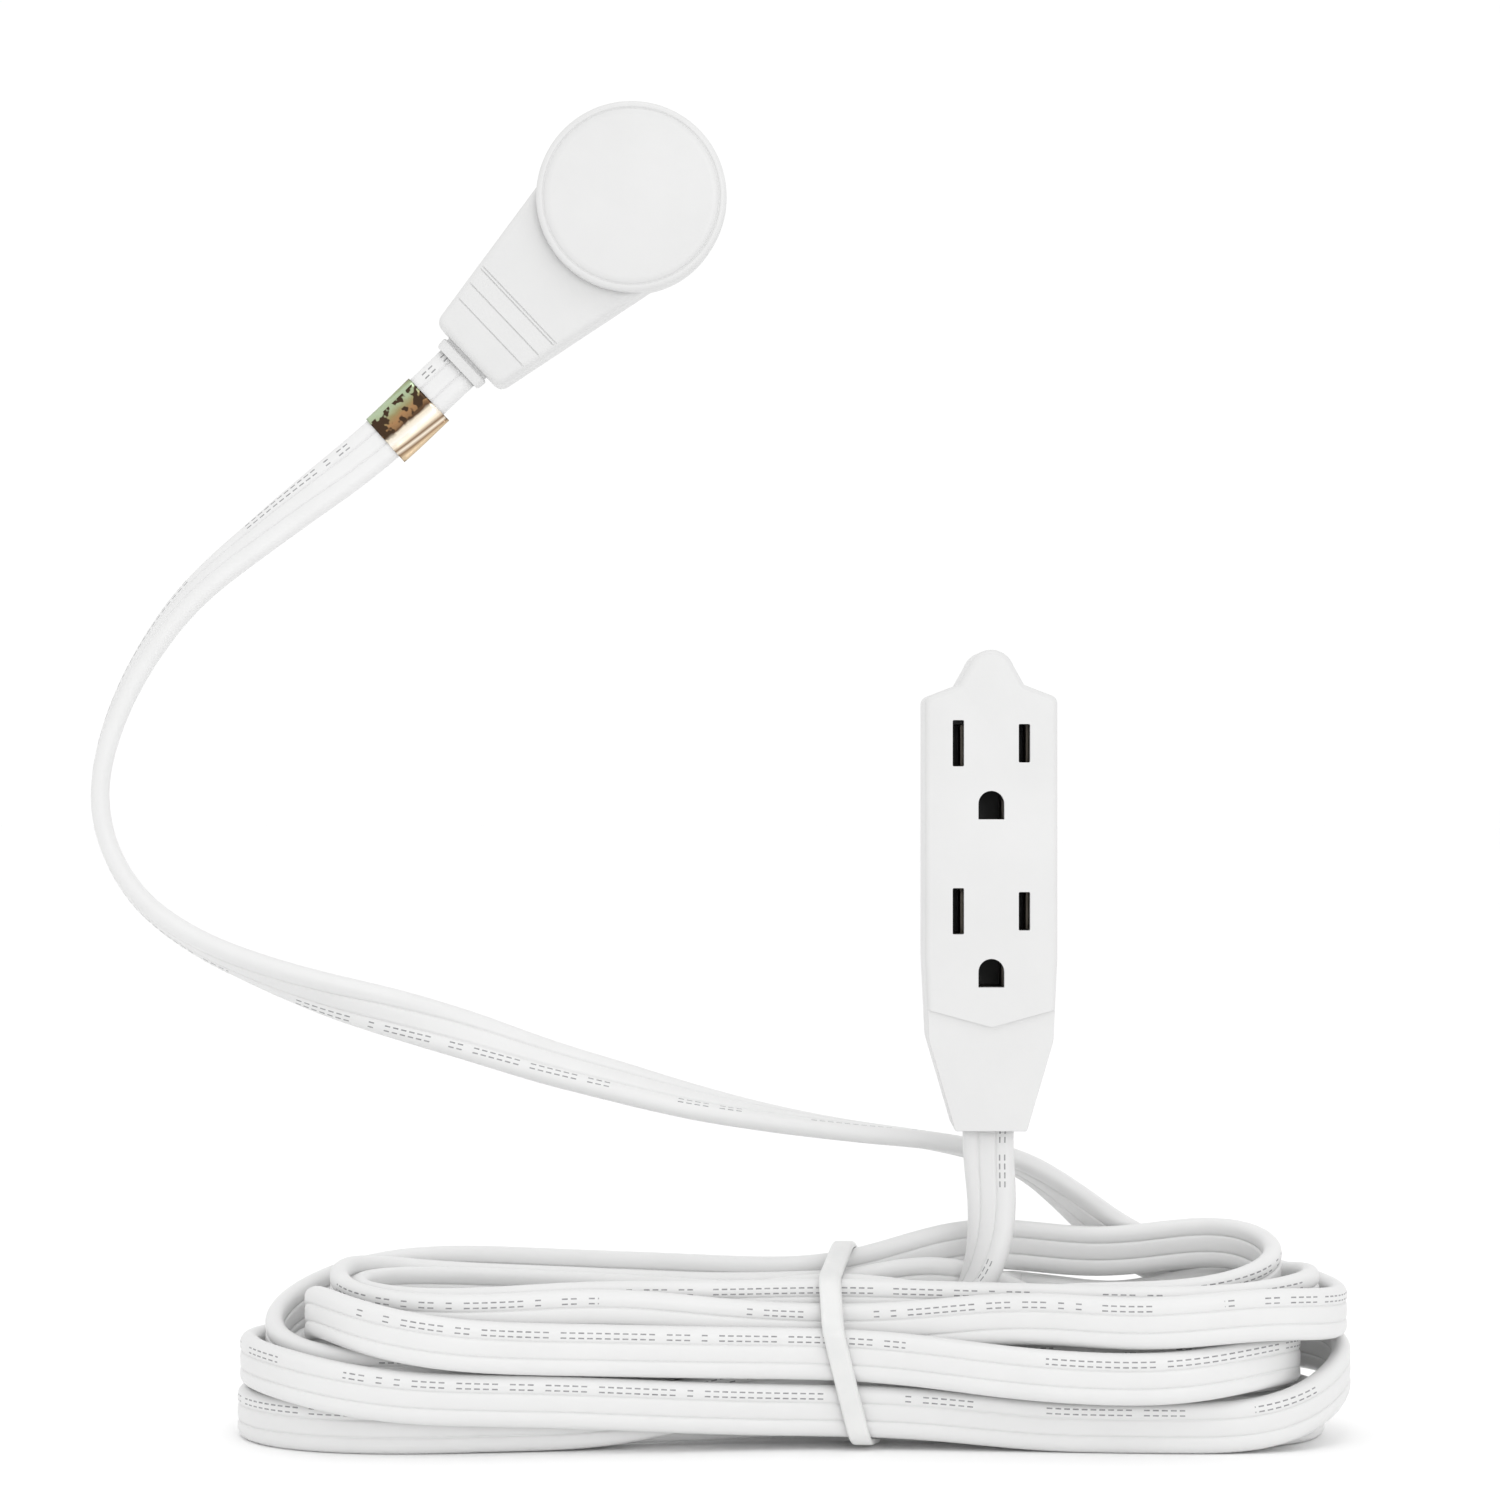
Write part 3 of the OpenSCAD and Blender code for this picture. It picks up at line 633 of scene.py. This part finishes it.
def plate_rings(outline, low, high, low_round, high_round, steps=6):
    """(outline, height) pairs of a plate whose two rims are rounded."""
    normal = outward(outline)
    rings = []
    if low_round:
        for k in range(steps):
            a = math.pi / 2 * k / steps
            inset = low_round * (1 - math.sin(a))
            rings.append((outline - normal * inset, low + low_round * (1 - math.cos(a))))
    rings.append((outline, low + low_round))
    rings.append((outline, high - high_round))
    if high_round:
        for k in range(1, steps + 1):
            a = math.pi / 2 * k / steps
            inset = high_round * (1 - math.cos(a))
            rings.append((outline - normal * inset, high - high_round + high_round * math.sin(a)))
    return rings


def rounded_outline(corners, steps=8):
    """A closed outline through corners (x, y, radius), each one an arc."""
    points = []
    count = len(corners)
    for i in range(count):
        p = np.array(corners[i][:2], float)
        a = unit(np.array(corners[i - 1][:2], float) - p)
        b = unit(np.array(corners[(i + 1) % count][:2], float) - p)
        r = corners[i][2]
        half = math.acos(max(-1, min(1, float(a @ b)))) / 2
        if r <= 0 or half > math.radians(89):
            points.append(p)
            continue
        centre = p + unit(a + b) * r / math.sin(half)
        start, end = p + a * r / math.tan(half), p + b * r / math.tan(half)
        a0 = math.atan2(*(start - centre)[::-1])
        a1 = math.atan2(*(end - centre)[::-1])
        turn = (a1 - a0 + math.pi) % (2 * math.pi) - math.pi
        for k in range(steps + 1):
            t = a0 + turn * k / steps
            points.append(centre + r * np.array([math.cos(t), math.sin(t)]))
    return np.array(points)


def densify(outline, step):
    """The same closed outline with no side longer than step."""
    points = []
    for a, b in zip(outline, np.roll(outline, -1, axis=0)):
        n = max(1, int(math.ceil(np.linalg.norm(b - a) / step)))
        points += [a + (b - a) * k / n for k in range(n)]
    return np.array(points)


def on_wall(flat, height):
    """Points (x, z) on the wall, at a height off it."""
    return np.column_stack([flat[:, 0], np.full(len(flat), -height), flat[:, 1]])


ARM_U = np.array([-math.cos(math.radians(ARM_ANGLE)), -math.sin(math.radians(ARM_ANGLE))])
ARM_V = np.array([-ARM_U[1], ARM_U[0]])


def on_arm(flat, height):
    """Points (along, across) of the arm, at a height off the wall."""
    return on_wall(flat[:, :1] * ARM_U + flat[:, 1:] * ARM_V, height)


def plate(name, place, outline, low, high, material, low_round=0.0, high_round=0.0):
    rings = [place(flat, h) for flat, h in plate_rings(outline, low, high, low_round, high_round)]
    return loft(name, rings, material)


def circle(radius, count=96, centre=(0, 0)):
    a = np.linspace(0, 2 * math.pi, count, endpoint=False)
    return np.column_stack([centre[0] + radius * np.cos(a), centre[1] + radius * np.sin(a)])


def rectangle(x, y, w, h, r=0.0, steps=4):
    signs = ((-1, -1), (1, -1), (1, 1), (-1, 1))
    return rounded_outline([(x + i * w / 2, y + j * h / 2, r) for i, j in signs], steps)


def combine(obj, others, operation="DIFFERENCE"):
    """Cuts others from obj, or joins them to it, and bakes the result."""
    for other in others:
        modifier = obj.modifiers.new("combine", "BOOLEAN")
        modifier.operation = operation
        modifier.solver = "EXACT"
        modifier.object = other
    bpy.context.view_layer.update()
    graph = bpy.context.evaluated_depsgraph_get()
    mesh = bpy.data.meshes.new_from_object(obj.evaluated_get(graph))
    old = obj.data
    obj.modifiers.clear()
    obj.data = mesh
    bpy.data.meshes.remove(old)
    for other in others:
        data = other.data
        bpy.data.objects.remove(other)
        bpy.data.meshes.remove(data)
    return obj


def edge_light(obj, width, angle=38, segments=2):
    """Rounds the sharp edges a little so that they catch the light."""
    modifier = obj.modifiers.new("edges", "BEVEL")
    modifier.limit_method = "ANGLE"
    modifier.angle_limit = math.radians(angle)
    modifier.width = width * MM
    modifier.segments = segments
    modifier.harden_normals = False
    weighted = obj.modifiers.new("normals", "WEIGHTED_NORMAL")
    weighted.keep_sharp = True


def sharp_shading(obj, angle=32):
    for polygon in obj.data.polygons:
        polygon.use_smooth = True
    bm = bmesh.new()
    bm.from_mesh(obj.data)
    for edge in bm.edges:
        if len(edge.link_faces) == 2:
            edge.smooth = edge.calc_face_angle() < math.radians(angle)
    bm.to_mesh(obj.data)
    bm.free()


def stand_for(obj, body, slot, *nodes):
    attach(obj, body)
    if nodes:
        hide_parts(*nodes)


# ---- Cord mesh ----

GROOVE_X = 1.68
GROOVE_DEPTH = 0.3
GROOVE_HALF_W = 0.2
CROWN = 0.07
CROWN_HALF_W = 2.6


def cord_section():
    """The flat cord's outline, as (across, out) points, and which side each point is on.

    The ends are round and each face has two narrow grooves between its three conductors.
    """
    end_r = CORD_T / 2
    flat_half = CORD_W / 2 - end_r
    a = np.linspace(-math.pi / 2, 0, 7)[:-1]
    left = np.column_stack([-flat_half + end_r * np.sin(a), end_r * np.cos(a)])
    near_groove = [-0.5, -0.26, -0.13, 0.0, 0.13, 0.26, 0.5]
    xs = [-flat_half, -2.7] + [-GROOVE_X + d for d in near_groove] + [-0.5]
    middle = np.array([(x, face_height(x)) for x in xs])
    half = np.vstack([left, middle])
    upper = np.vstack([half, [(0, face_height(0))], (half * [-1, 1])[::-1]])
    lower = (upper * [1, -1])[::-1][1:-1]
    side = np.concatenate([np.ones(len(upper)), np.zeros(len(lower))])
    return np.vstack([upper, lower]), side


def face_height(x):
    """Half the cord's thickness at x across it, on the flat part between the round ends."""
    groove = GROOVE_DEPTH * math.exp(-((abs(x) - GROOVE_X) / GROOVE_HALF_W) ** 2)
    crown = CROWN * (math.cos(math.pi * (abs(x) % (2 * GROOVE_X)) / GROOVE_X) - 1) / 2
    return CORD_T / 2 - groove + (crown if abs(x) < CROWN_HALF_W else 0)


def place_on_cord(obj, along, section, side):
    """Gives each point its place along the cord and across it, and its side, for the materials."""
    place = np.array([(s, c[0], f) for s in along for c, f in zip(section, side)], dtype=np.float32)
    layer = obj.data.attributes.new("cord_place", "FLOAT_VECTOR", "POINT")
    layer.data.foreach_set("vector", place.ravel())


def make_cord():
    section, side = cord_section()
    rings = [p + np.outer(section[:, 0], w) + np.outer(section[:, 1], n)
             for p, w, n in zip(CORD_P, CORD_ACROSS, CORD_FACE)]
    cord = loft("flat_cord", rings, CORD_VINYL)
    place_on_cord(cord, CORD_ALONG, section, side)
    stand_for(cord, ROOT, "cord_jacket", "plug_lead", "cord_hank", "receptacle_riser")
    return cord


# ---- Plug ----

DISC_R = 19.2
HOUSING_R = 18.4
ARM_ROOT_W = 34.6
ARM_END_W = 18.3
ARM_FRONT = 10.5
ARM_SPLIT = 5.5
ARM_BACK = 0.4
CAP_LOW = 10.8
CAP_HIGH = 14.0
ARM_WALL = 1.8
SPINDLE_R = 2.5
REAR_OPENING_R = HOUSING_R - 2
CORD_WAY_W = 10.9
CORD_WAY_HALF = 2.35
ARM_GROOVES = (31.3, 31.95, 35.5, 39.3)


def arm_outline(inset=0.0, corner=2.2):
    """Round housing with the tapered arm, anticlockwise in (along, across)."""
    reach = ARM_REACH - inset
    end_half = ARM_END_W / 2 - inset
    root_half = ARM_ROOT_W / 2 - inset
    r = HOUSING_R - inset
    slope = (root_half - end_half) / reach
    a = 1 + slope ** 2
    b = -2 * root_half * slope
    c = root_half ** 2 - r ** 2
    meet = (-b + math.sqrt(max(0.0, b * b - 4 * a * c))) / (2 * a)
    start = math.atan2(root_half - slope * meet, meet)
    arc = [(r * math.cos(t), r * math.sin(t), 0.0) for t in np.linspace(start, 2 * math.pi - start, 90)]
    end_r = max(0.2, corner - inset)
    return rounded_outline(arc + [(reach, -end_half, end_r), (reach, end_half, end_r)])


def groove_cutter(u):
    half = 0.14
    depth = 0.22
    outline = np.array([(u - half, -20), (u + half, -20), (u + half, 20), (u - half, 20)], float)
    return cutter(on_arm, outline, ARM_FRONT - depth, ARM_FRONT + 2)


def cutter(place, outline, low, high):
    return plate("cutter", place, outline, low, high, WHITE_PLASTIC)


def arm_cord_way(low, high):
    """Cuts the way for the cord through the arm's end wall."""
    return cutter(on_arm, rectangle(ARM_REACH, 0, 8, CORD_WAY_W), low, high)


def make_arm_front():
    outer = densify(arm_outline(), 1.2)
    cover = plate("arm_front_cover", on_arm, outer, ARM_SPLIT, ARM_FRONT, WHITE_PLASTIC, 0.15, 1.5)
    cavity = cutter(on_arm, arm_outline(ARM_WALL), ARM_SPLIT - 1, ARM_FRONT - 1.9)
    cord_way = arm_cord_way(ARM_SPLIT - 1, ARM_SPLIT + CORD_WAY_HALF)
    combine(cover, [cavity, cord_way])
    boss = cutter(on_arm, circle(SPINDLE_R + 1.1, 48), 3.3, ARM_FRONT - 0.5)
    combine(cover, [boss], "UNION")
    bore = cutter(on_arm, circle(SPINDLE_R + 0.05, 48), 2, ARM_FRONT + 1)
    combine(cover, [bore] + [groove_cutter(u) for u in ARM_GROOVES])
    sharp_shading(cover)
    stand_for(cover, ROOT, "white_plastic", "arm_front_shell")
    return cover


def make_arm_rear():
    outer = densify(arm_outline(), 1.2)
    shell = plate("arm_rear_cover", on_arm, outer, ARM_BACK, ARM_SPLIT - 0.02, WHITE_PLASTIC, 0.8, 0.15)
    cavity = cutter(on_arm, arm_outline(ARM_WALL), ARM_BACK + 1.8, ARM_SPLIT + 1)
    opening = cutter(on_arm, circle(REAR_OPENING_R), -1, ARM_SPLIT + 1)
    cord_way = arm_cord_way(ARM_SPLIT - CORD_WAY_HALF, ARM_SPLIT + 1)
    combine(shell, [cavity, opening, cord_way])
    sharp_shading(shell)
    stand_for(shell, ROOT, "white_plastic", "arm_rear_shell")
    return shell


def lathe(name, profile, material, count=144):
    """Turns profile, (radius, height) points from the axis to the axis, about the wall's normal."""
    rings = [on_wall(circle(max(r, 0.01), count), h) for r, h in profile]
    return loft(name, rings, material)


def make_rotor_cap():
    edge = 0.9
    groove_r, groove_half, groove_depth = 17.75, 0.16, 0.2
    profile = [(0.01, CAP_LOW), (DISC_R - 0.3, CAP_LOW), (DISC_R, CAP_LOW + 0.3)]
    for k in range(7):
        a = math.pi / 2 * k / 6
        profile.append((DISC_R - edge * (1 - math.cos(a)), CAP_HIGH - edge * (1 - math.sin(a))))
    profile += [
        (groove_r + groove_half + 0.12, CAP_HIGH), (groove_r + groove_half, CAP_HIGH - 0.12),
        (groove_r + groove_half - 0.06, CAP_HIGH - groove_depth),
        (groove_r - groove_half + 0.06, CAP_HIGH - groove_depth),
        (groove_r - groove_half, CAP_HIGH - 0.12), (groove_r - groove_half - 0.12, CAP_HIGH),
        (groove_r - 1.5, CAP_HIGH), (8, CAP_HIGH), (0.01, CAP_HIGH),
    ]
    cap = lathe("turning_cap", profile, WHITE_PLASTIC)
    sharp_shading(cap, 50)
    stand_for(cap, ROTOR, "white_plastic", "rotor_cap")
    return cap


def across_arm(u, half_w, half_h, r, steps=6):
    """A rounded rectangle square to the arm, at distance u along it."""
    section = rectangle(0, 0, 2 * half_w, 2 * half_h, r, steps)
    flat = np.column_stack([np.full(len(section), u), section[:, 0]])
    ring = on_arm(flat, ARM_SPLIT)
    ring[:, 1] -= section[:, 1]
    return ring


def make_strain_relief():
    """Flange inside, neck through the end wall and a soft collar outside."""
    stations = [
        (41.0, 5.75, 3.0, 0.4), (43.2, 5.75, 3.0, 0.4), (43.2, 5.3, 2.25, 0.4), (46.8, 5.3, 2.25, 0.4),
        (46.8, 5.55, 2.7, 0.6), (47.1, 5.9, 2.95, 0.8), (48.7, 5.75, 2.9, 0.8), (49.1, 5.45, 2.65, 0.7),
    ]
    relief = loft("plug_collar", [across_arm(*station) for station in stations], SOFT_PLASTIC)
    sharp_shading(relief, 40)
    stand_for(relief, ROOT, "cord_jacket", "plug_strain_relief")
    return relief


def make_foil_label():
    """Foil wrapped round the cord near the plug, its two ends pressed together as a flap."""
    start, length = 8.6, 12.2
    half_w, half_t, flap = CORD_W / 2 + 0.3, CORD_T / 2 + 0.3, 1.5
    section = [(half_w + flap, 0.14), (half_w + flap * 0.6, 0.22), (half_w + 0.35, 0.45), (half_w - 0.5, 1.5)]
    for k in range(7):
        section.append((3.6 - 1.2 * k, half_t + (0.12 if k in (0, 3, 6) else -0.06)))
    for k in range(7):
        a = math.pi / 2 + math.pi * k / 6
        section.append((-half_w + 1.4 + 1.4 * math.cos(a), half_t * math.sin(a)))
    for k in range(7):
        section.append((-3.6 + 1.2 * k, -half_t - (0.12 if k in (0, 3, 6) else -0.06)))
    section += [(half_w - 0.5, -1.5), (half_w + 0.35, -0.3)]
    section += [(half_w + flap * 0.6, -0.05), (half_w + flap - 0.2, -0.06)]
    section = np.array(section)
    rings = []
    count = 13
    for k in range(count):
        s = start + length * k / (count - 1)
        p, w, n = (np.array([np.interp(s, CORD_ALONG, field[:, c]) for c in range(3)])
                   for field in (CORD_P, CORD_ACROSS, CORD_FACE))
        ripple = 0.05 * math.sin(k * 1.9)
        rings.append(p + np.outer(section[:, 0], w) + np.outer(section[:, 1] * (1 + ripple * 0.3), n))
    sides = len(section)
    label = make_object("foil_wrap", np.vstack(rings), skin_faces(count, sides, open_section=True), FOIL)
    place_on_cord(label, [length * k / (count - 1) for k in range(count)], section, np.ones(sides))
    thick = label.modifiers.new("thickness", "SOLIDIFY")
    thick.thickness = 0.09 * MM
    thick.offset = 0
    stand_for(label, ROOT, "foil", "foil_label")
    return label


# ---- Cable tie ----

def convex_hull(points):
    """Corners of the convex hull of 2-D points, anticlockwise."""
    points = sorted(map(tuple, np.round(points, 4)))

    def half(items):
        chain = []
        for q in items:
            while len(chain) > 1:
                (ax, ay), (bx, by) = chain[-2], chain[-1]
                if (bx - ax) * (q[1] - ay) - (by - ay) * (q[0] - ax) > 0:
                    break
                chain.pop()
            chain.append(q)
        return chain[:-1]

    return np.array(half(points) + half(points[::-1]))


TIE_W = 4.2
TIE_T = 1.2
TIE_TOP_X = 38.0


def tie_plane(y, z):
    """The band leans: its x at a place on its loop."""
    return TIE_TOP_X + (HANK_TOP - z) * 0.24 + (y - WAIST_FRONT_Y) * 0.2


def tie_loop():
    """The band's inner line round the strands at the waist, in (y, z)."""
    near = np.abs(CORD_P[:, 0] - tie_plane(CORD_P[:, 1], CORD_P[:, 2])) < 3.5
    low = CORD_P[:, 2] < HANK_TOP
    corners = []
    for p, w, n in zip(CORD_P[near & low], CORD_ACROSS[near & low], CORD_FACE[near & low]):
        for a in (-1, 1):
            for b in (-1, 1):
                q = p + a * w * (CORD_W / 2 - 0.4) + b * n * CORD_T / 2
                corners.append((q[1], q[2]))
    hull = densify(convex_hull(np.array(corners)), 0.5)
    loop = densify(hull, 1.0)
    for _ in range(60):
        loop = (np.roll(loop, 1, axis=0) + 2 * loop + np.roll(loop, -1, axis=0)) / 4
        normal = outward(loop)
        away = hull[None] - loop[:, None]
        level = (away * normal[:, None]).sum(2)
        aside = np.abs(away[:, :, 0] * normal[:, None, 1] - away[:, :, 1] * normal[:, None, 0])
        loop += normal * np.maximum(np.where(aside < 2.5, level, 0).max(axis=1), 0)[:, None] * 0.5
    for _ in range(6):
        loop = (np.roll(loop, 1, axis=0) + 2 * loop + np.roll(loop, -1, axis=0)) / 4
    return loop + outward(loop) * 0.25


def make_tie_band(inner, normal):
    section = rounded_outline(
        [(-TIE_W / 2, 0, 0.3), (TIE_W / 2, 0, 0.3), (TIE_W / 2, TIE_T, 0.7), (-TIE_W / 2, TIE_T, 0.7)], 5)
    rings = []
    for q, n in zip(inner, normal):
        ring = []
        for x, out in section:
            y, z = q + n * out
            ring.append((tie_plane(y, z) + x, y, z))
        rings.append(np.array(ring))
    faces = skin_faces(len(rings), len(section), closed_rings=True)
    band = make_object("tie_band", np.vstack(rings), faces, NYLON)
    sharp_shading(band, 50)
    stand_for(band, ROOT, "tie_nylon", "cable_tie")
    return band


def make_tie_head(centre):
    rings = []
    for flat, h in plate_rings(rectangle(0, 0, 5.6, 5.2, 0.8), -2.0, 2.4, 0.4, 0.6, 4):
        depth = np.full(len(flat), centre[1] + h)
        rings.append(np.column_stack([centre[0] + flat[:, 0], depth, centre[2] + flat[:, 1]]))
    head = loft("tie_head", rings, NYLON)
    stand_for(head, ROOT, "tie_nylon")
    return head


def make_tie_tail(centre):
    """The band's cut end, which stands up out of the head and leans back."""
    count = 9
    rings = []
    for k in range(count):
        w = TIE_W if k < count - 1 else TIE_W * 0.6
        x = centre[0] + 0.2 * k
        y = centre[1] + 0.9 + 0.09 * k * k * 0.3
        z = centre[2] + (2.0 + k * 1.1)
        signs = ((-1, -1), (1, -1), (1, 1), (-1, 1))
        rings.append(np.array([(x + i * w / 2, y + j * 0.5, z) for i, j in signs]))
    tail = loft("tie_tail", rings, NYLON)
    edge_light(tail, 0.2)
    stand_for(tail, ROOT, "tie_nylon")
    return tail


def make_cable_tie():
    inner = tie_loop()
    normal = outward(inner)
    inner = inner + normal * 0.15
    band = make_tie_band(inner, normal)
    back = inner[np.argmax(inner[:, 0])]
    centre = np.array([tie_plane(back[0], back[1]), back[0] + 2.2, back[1]])
    return [band, make_tie_head(centre), make_tie_tail(centre)]


# ---- Receptacle ----

REC_X = 70.3
REC_FRONT = 48.0
REC_BACK = 27.0
REC_MID = (REC_FRONT + REC_BACK) / 2
REC_HALF_W = 12.75
REC_WALL = 1.8
REC_FACE = 2.2
REC_BOTTOM = -184.9
REC_HIP = -167.5
REC_WAIST = -151.5
REC_FOOT_HALF_W = 6.9
UPPER_Z = -110.2
OUTLET_PITCH = 32.3
PIN_DROP = 11.9
BLADE_X = 6.35


def on_receptacle(flat, height):
    """Points (x from the receptacle's middle, z), at a height off the wall."""
    return on_wall(flat + np.array([REC_X, 0]), height)


def rec_outline():
    """Tapered at the cord end, with sloping shoulders and a round knob on top."""
    dome_r, dome_z, lean = 4.5, -96.7, 20
    half = REC_HALF_W
    right = [
        (REC_FOOT_HALF_W, REC_BOTTOM, 0.5), (half - 0.75, REC_HIP, 6), (half, REC_WAIST, 10),
        (half, -101.4, 1.7),
        (6.35, -98.95, 0.7),
    ]
    arc = [(dome_r * math.cos(a), dome_z + dome_r * math.sin(a), 0)
           for a in np.radians(np.arange(lean, 181 - lean, 5))]
    left = [(-x, z, r) for x, z, r in right[::-1]]
    return rounded_outline(right + arc + left)


def slot_outline(x, z, w, h):
    return rectangle(x, z, w, h, 0.25, 3)


def ground_outline(z, up):
    w, h = 5.0, 5.5
    r = w / 2
    flip = -up
    arc = [(r * math.cos(a), h / 2 - r + r * math.sin(a)) for a in np.linspace(0, math.pi, 17)]
    points = np.array([(-r, -h / 2), (r, -h / 2)] + arc)
    points[:, 1] = points[:, 1] * flip + z
    return points if flip > 0 else points[::-1]


def outlet_outlines(z, up):
    return [
        slot_outline(-BLADE_X, z, 2.2, 8.9), slot_outline(BLADE_X, z, 2.2, 7.4),
        ground_outline(z + up * PIN_DROP, up),
    ]


def cut_outlets(places, low, high):
    return [cutter(on_receptacle, o, low, high) for z, up in places for o in outlet_outlines(z, up)]


def rec_cord_way(low, high):
    """Cuts the way for the cord through the receptacle's foot."""
    return cutter(on_receptacle, rectangle(0, REC_BOTTOM, CORD_WAY_W, 6), low, high)


def rec_shell(name, low, high, low_round, high_round):
    outer = densify(rec_outline(), 2.0)
    return plate(name, on_receptacle, outer, low, high, WHITE_PLASTIC, low_round, high_round)


def make_receptacle_front():
    shell = rec_shell("receptacle_front_cover", REC_MID + 0.02, REC_FRONT, 0.15, 1.1)
    cavity = cutter(on_receptacle, rec_cavity(), REC_MID - 1, REC_FRONT - REC_FACE)
    step = np.array([(-16, -160.4), (-16, -190), (16, -190), (16, -160.4), (0, -164.8)], float)
    ledge = cutter(on_receptacle, step, REC_FRONT - 0.6, REC_FRONT + 2)
    combine(shell, [cavity, ledge, rec_cord_way(REC_MID - 1, REC_MID + CORD_WAY_HALF)])
    combine(shell, cut_outlets([(UPPER_Z, -1), (UPPER_Z - OUTLET_PITCH, -1)], REC_MID, REC_FRONT + 2))
    sharp_shading(shell)
    stand_for(shell, ROOT, "white_plastic", "receptacle_front_shell")
    return shell


def rec_cavity():
    half = REC_HALF_W - REC_WALL
    right = [
        (REC_FOOT_HALF_W - REC_WALL, REC_BOTTOM + REC_WALL, 0), (half - 0.8, REC_HIP, 0),
        (half, REC_WAIST, 0), (half, -103.4, 0),
    ]
    left = [(-x, z, 0) for x, z, _ in right[::-1]]
    return rounded_outline(right + left)


def make_receptacle_back():
    shell = rec_shell("receptacle_back_cover", REC_BACK, REC_MID - 0.02, 1.1, 0.15)
    cavity = cutter(on_receptacle, rec_cavity(), REC_BACK + REC_FACE, REC_MID + 1)
    combine(shell, [cavity, rec_cord_way(REC_MID - CORD_WAY_HALF, REC_MID + 1)])
    combine(shell, cut_outlets([(UPPER_Z - OUTLET_PITCH / 2, 1)], REC_BACK - 2, REC_MID))
    sharp_shading(shell)
    stand_for(shell, ROOT, "white_plastic", "receptacle_back_shell")
    return shell


# ---- CAD pieces that keep their shape ----

def softened(name, width, material, body, slot):
    """A copy of a CAD piece with its sharp edges rounded, which stands for it."""
    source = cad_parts[name]
    mesh = source.data.copy()
    obj = bpy.data.objects.new(name + "_edged", mesh)
    bpy.context.scene.collection.objects.link(obj)
    bm = bmesh.new()
    bm.from_mesh(mesh)
    bmesh.ops.remove_doubles(bm, verts=bm.verts, dist=0.002 * MM)
    bmesh.ops.dissolve_limit(bm, angle_limit=math.radians(0.6), verts=bm.verts, edges=bm.edges)
    bmesh.ops.recalc_face_normals(bm, faces=bm.faces)
    bm.to_mesh(mesh)
    bm.free()
    mesh.materials.clear()
    mesh.materials.append(material)
    mesh.shade_smooth()
    sharp_shading(obj)
    edge_light(obj, width)
    stand_for(obj, body, slot, name)
    return obj


def paint(name, material):
    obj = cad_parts[name]
    if not obj.data.materials:
        obj.data.materials.append(material)
    for k in range(len(obj.material_slots)):
        obj.material_slots[k].material = material


CORD = make_cord()
make_arm_front()
make_arm_rear()
make_rotor_cap()
RELIEF = make_strain_relief()
LABEL = make_foil_label()
TIE = make_cable_tie()
make_receptacle_front()
make_receptacle_back()

TURNING = [
    softened("line_blade", 0.25, NICKEL, ROTOR, "blade_metal"),
    softened("neutral_blade", 0.25, NICKEL, ROTOR, "blade_metal"),
    softened("ground_pin", 0.2, NICKEL, ROTOR, "blade_metal"),
    softened("blade_carrier", 0.3, WHITE_PLASTIC, ROTOR, "white_plastic"),
]
softened("receptacle_strain_relief", 0.4, SOFT_PLASTIC, ROOT, "cord_jacket")

paint("pivot_spindle", STEEL)
for name in ("line_ring", "neutral_ring", "ground_ring", "line_wiper", "neutral_wiper", "ground_wiper",
             "wiper_crimps", "busbar_crimps"):
    paint(name, BRASS)
# The busbars get the darkened brass, which paints the shade inside the outlet slots
for name in ("line_busbar", "neutral_busbar", "ground_busbar"):
    paint(name, BRASS_PAINTED_SHADE)
for name in ("contact_carrier_front", "contact_carrier_back"):
    paint(name, BLACK_PLASTIC)
for place in ("plug", "outlet"):
    paint(f"line_{place}_wire", WIRE_BLACK)
    paint(f"neutral_{place}_wire", WIRE_WHITE)
    paint(f"ground_{place}_wire", WIRE_GREEN)


# ---- Stage ----

def make_floor():
    size = 6000
    corners = [(-size, -size, FLOOR_Z), (size, -size, FLOOR_Z), (size, size, FLOOR_Z), (-size, size, FLOOR_Z)]
    material, shader = new_material("pale_floor", (0.99, 0.99, 0.99), 1.0)
    stops = [(0.3, (0.985, 0.985, 0.985)), (0.7, (0.995, 0.995, 0.995))]
    link(material, ramp(material, grain(material, 3, 2.0), stops), shader.inputs["Base Color"])
    floor = make_object("floor", corners, [(0, 1, 2, 3)], material, False)


def area_light(name, place, target, size, power):
    data = bpy.data.lights.new(name, "AREA")
    data.shape = "DISK"
    data.size = size
    data.energy = power
    lamp = bpy.data.objects.new(name, data)
    bpy.context.scene.collection.objects.link(lamp)
    lamp.location = place
    lamp.rotation_euler = (Vector(target) - Vector(place)).to_track_quat("-Z", "Y").to_euler()


def make_light():
    world = bpy.data.worlds.new("studio")
    bpy.context.scene.world = world
    world.use_nodes = True
    background = world.node_tree.nodes["Background"]
    background.inputs["Color"].default_value = (1, 1, 1, 1)
    background.inputs["Strength"].default_value = 1.02
    bpy.context.scene.view_settings.view_transform = "Standard"
    middle = (0.02, -0.03, -0.15)
    area_light("key", (0.3, -1.1, 0.12), middle, 0.5, 1.6)
    area_light("top", (0.1, -0.45, 0.85), middle, 0.6, 1.2)


make_floor()
make_light()
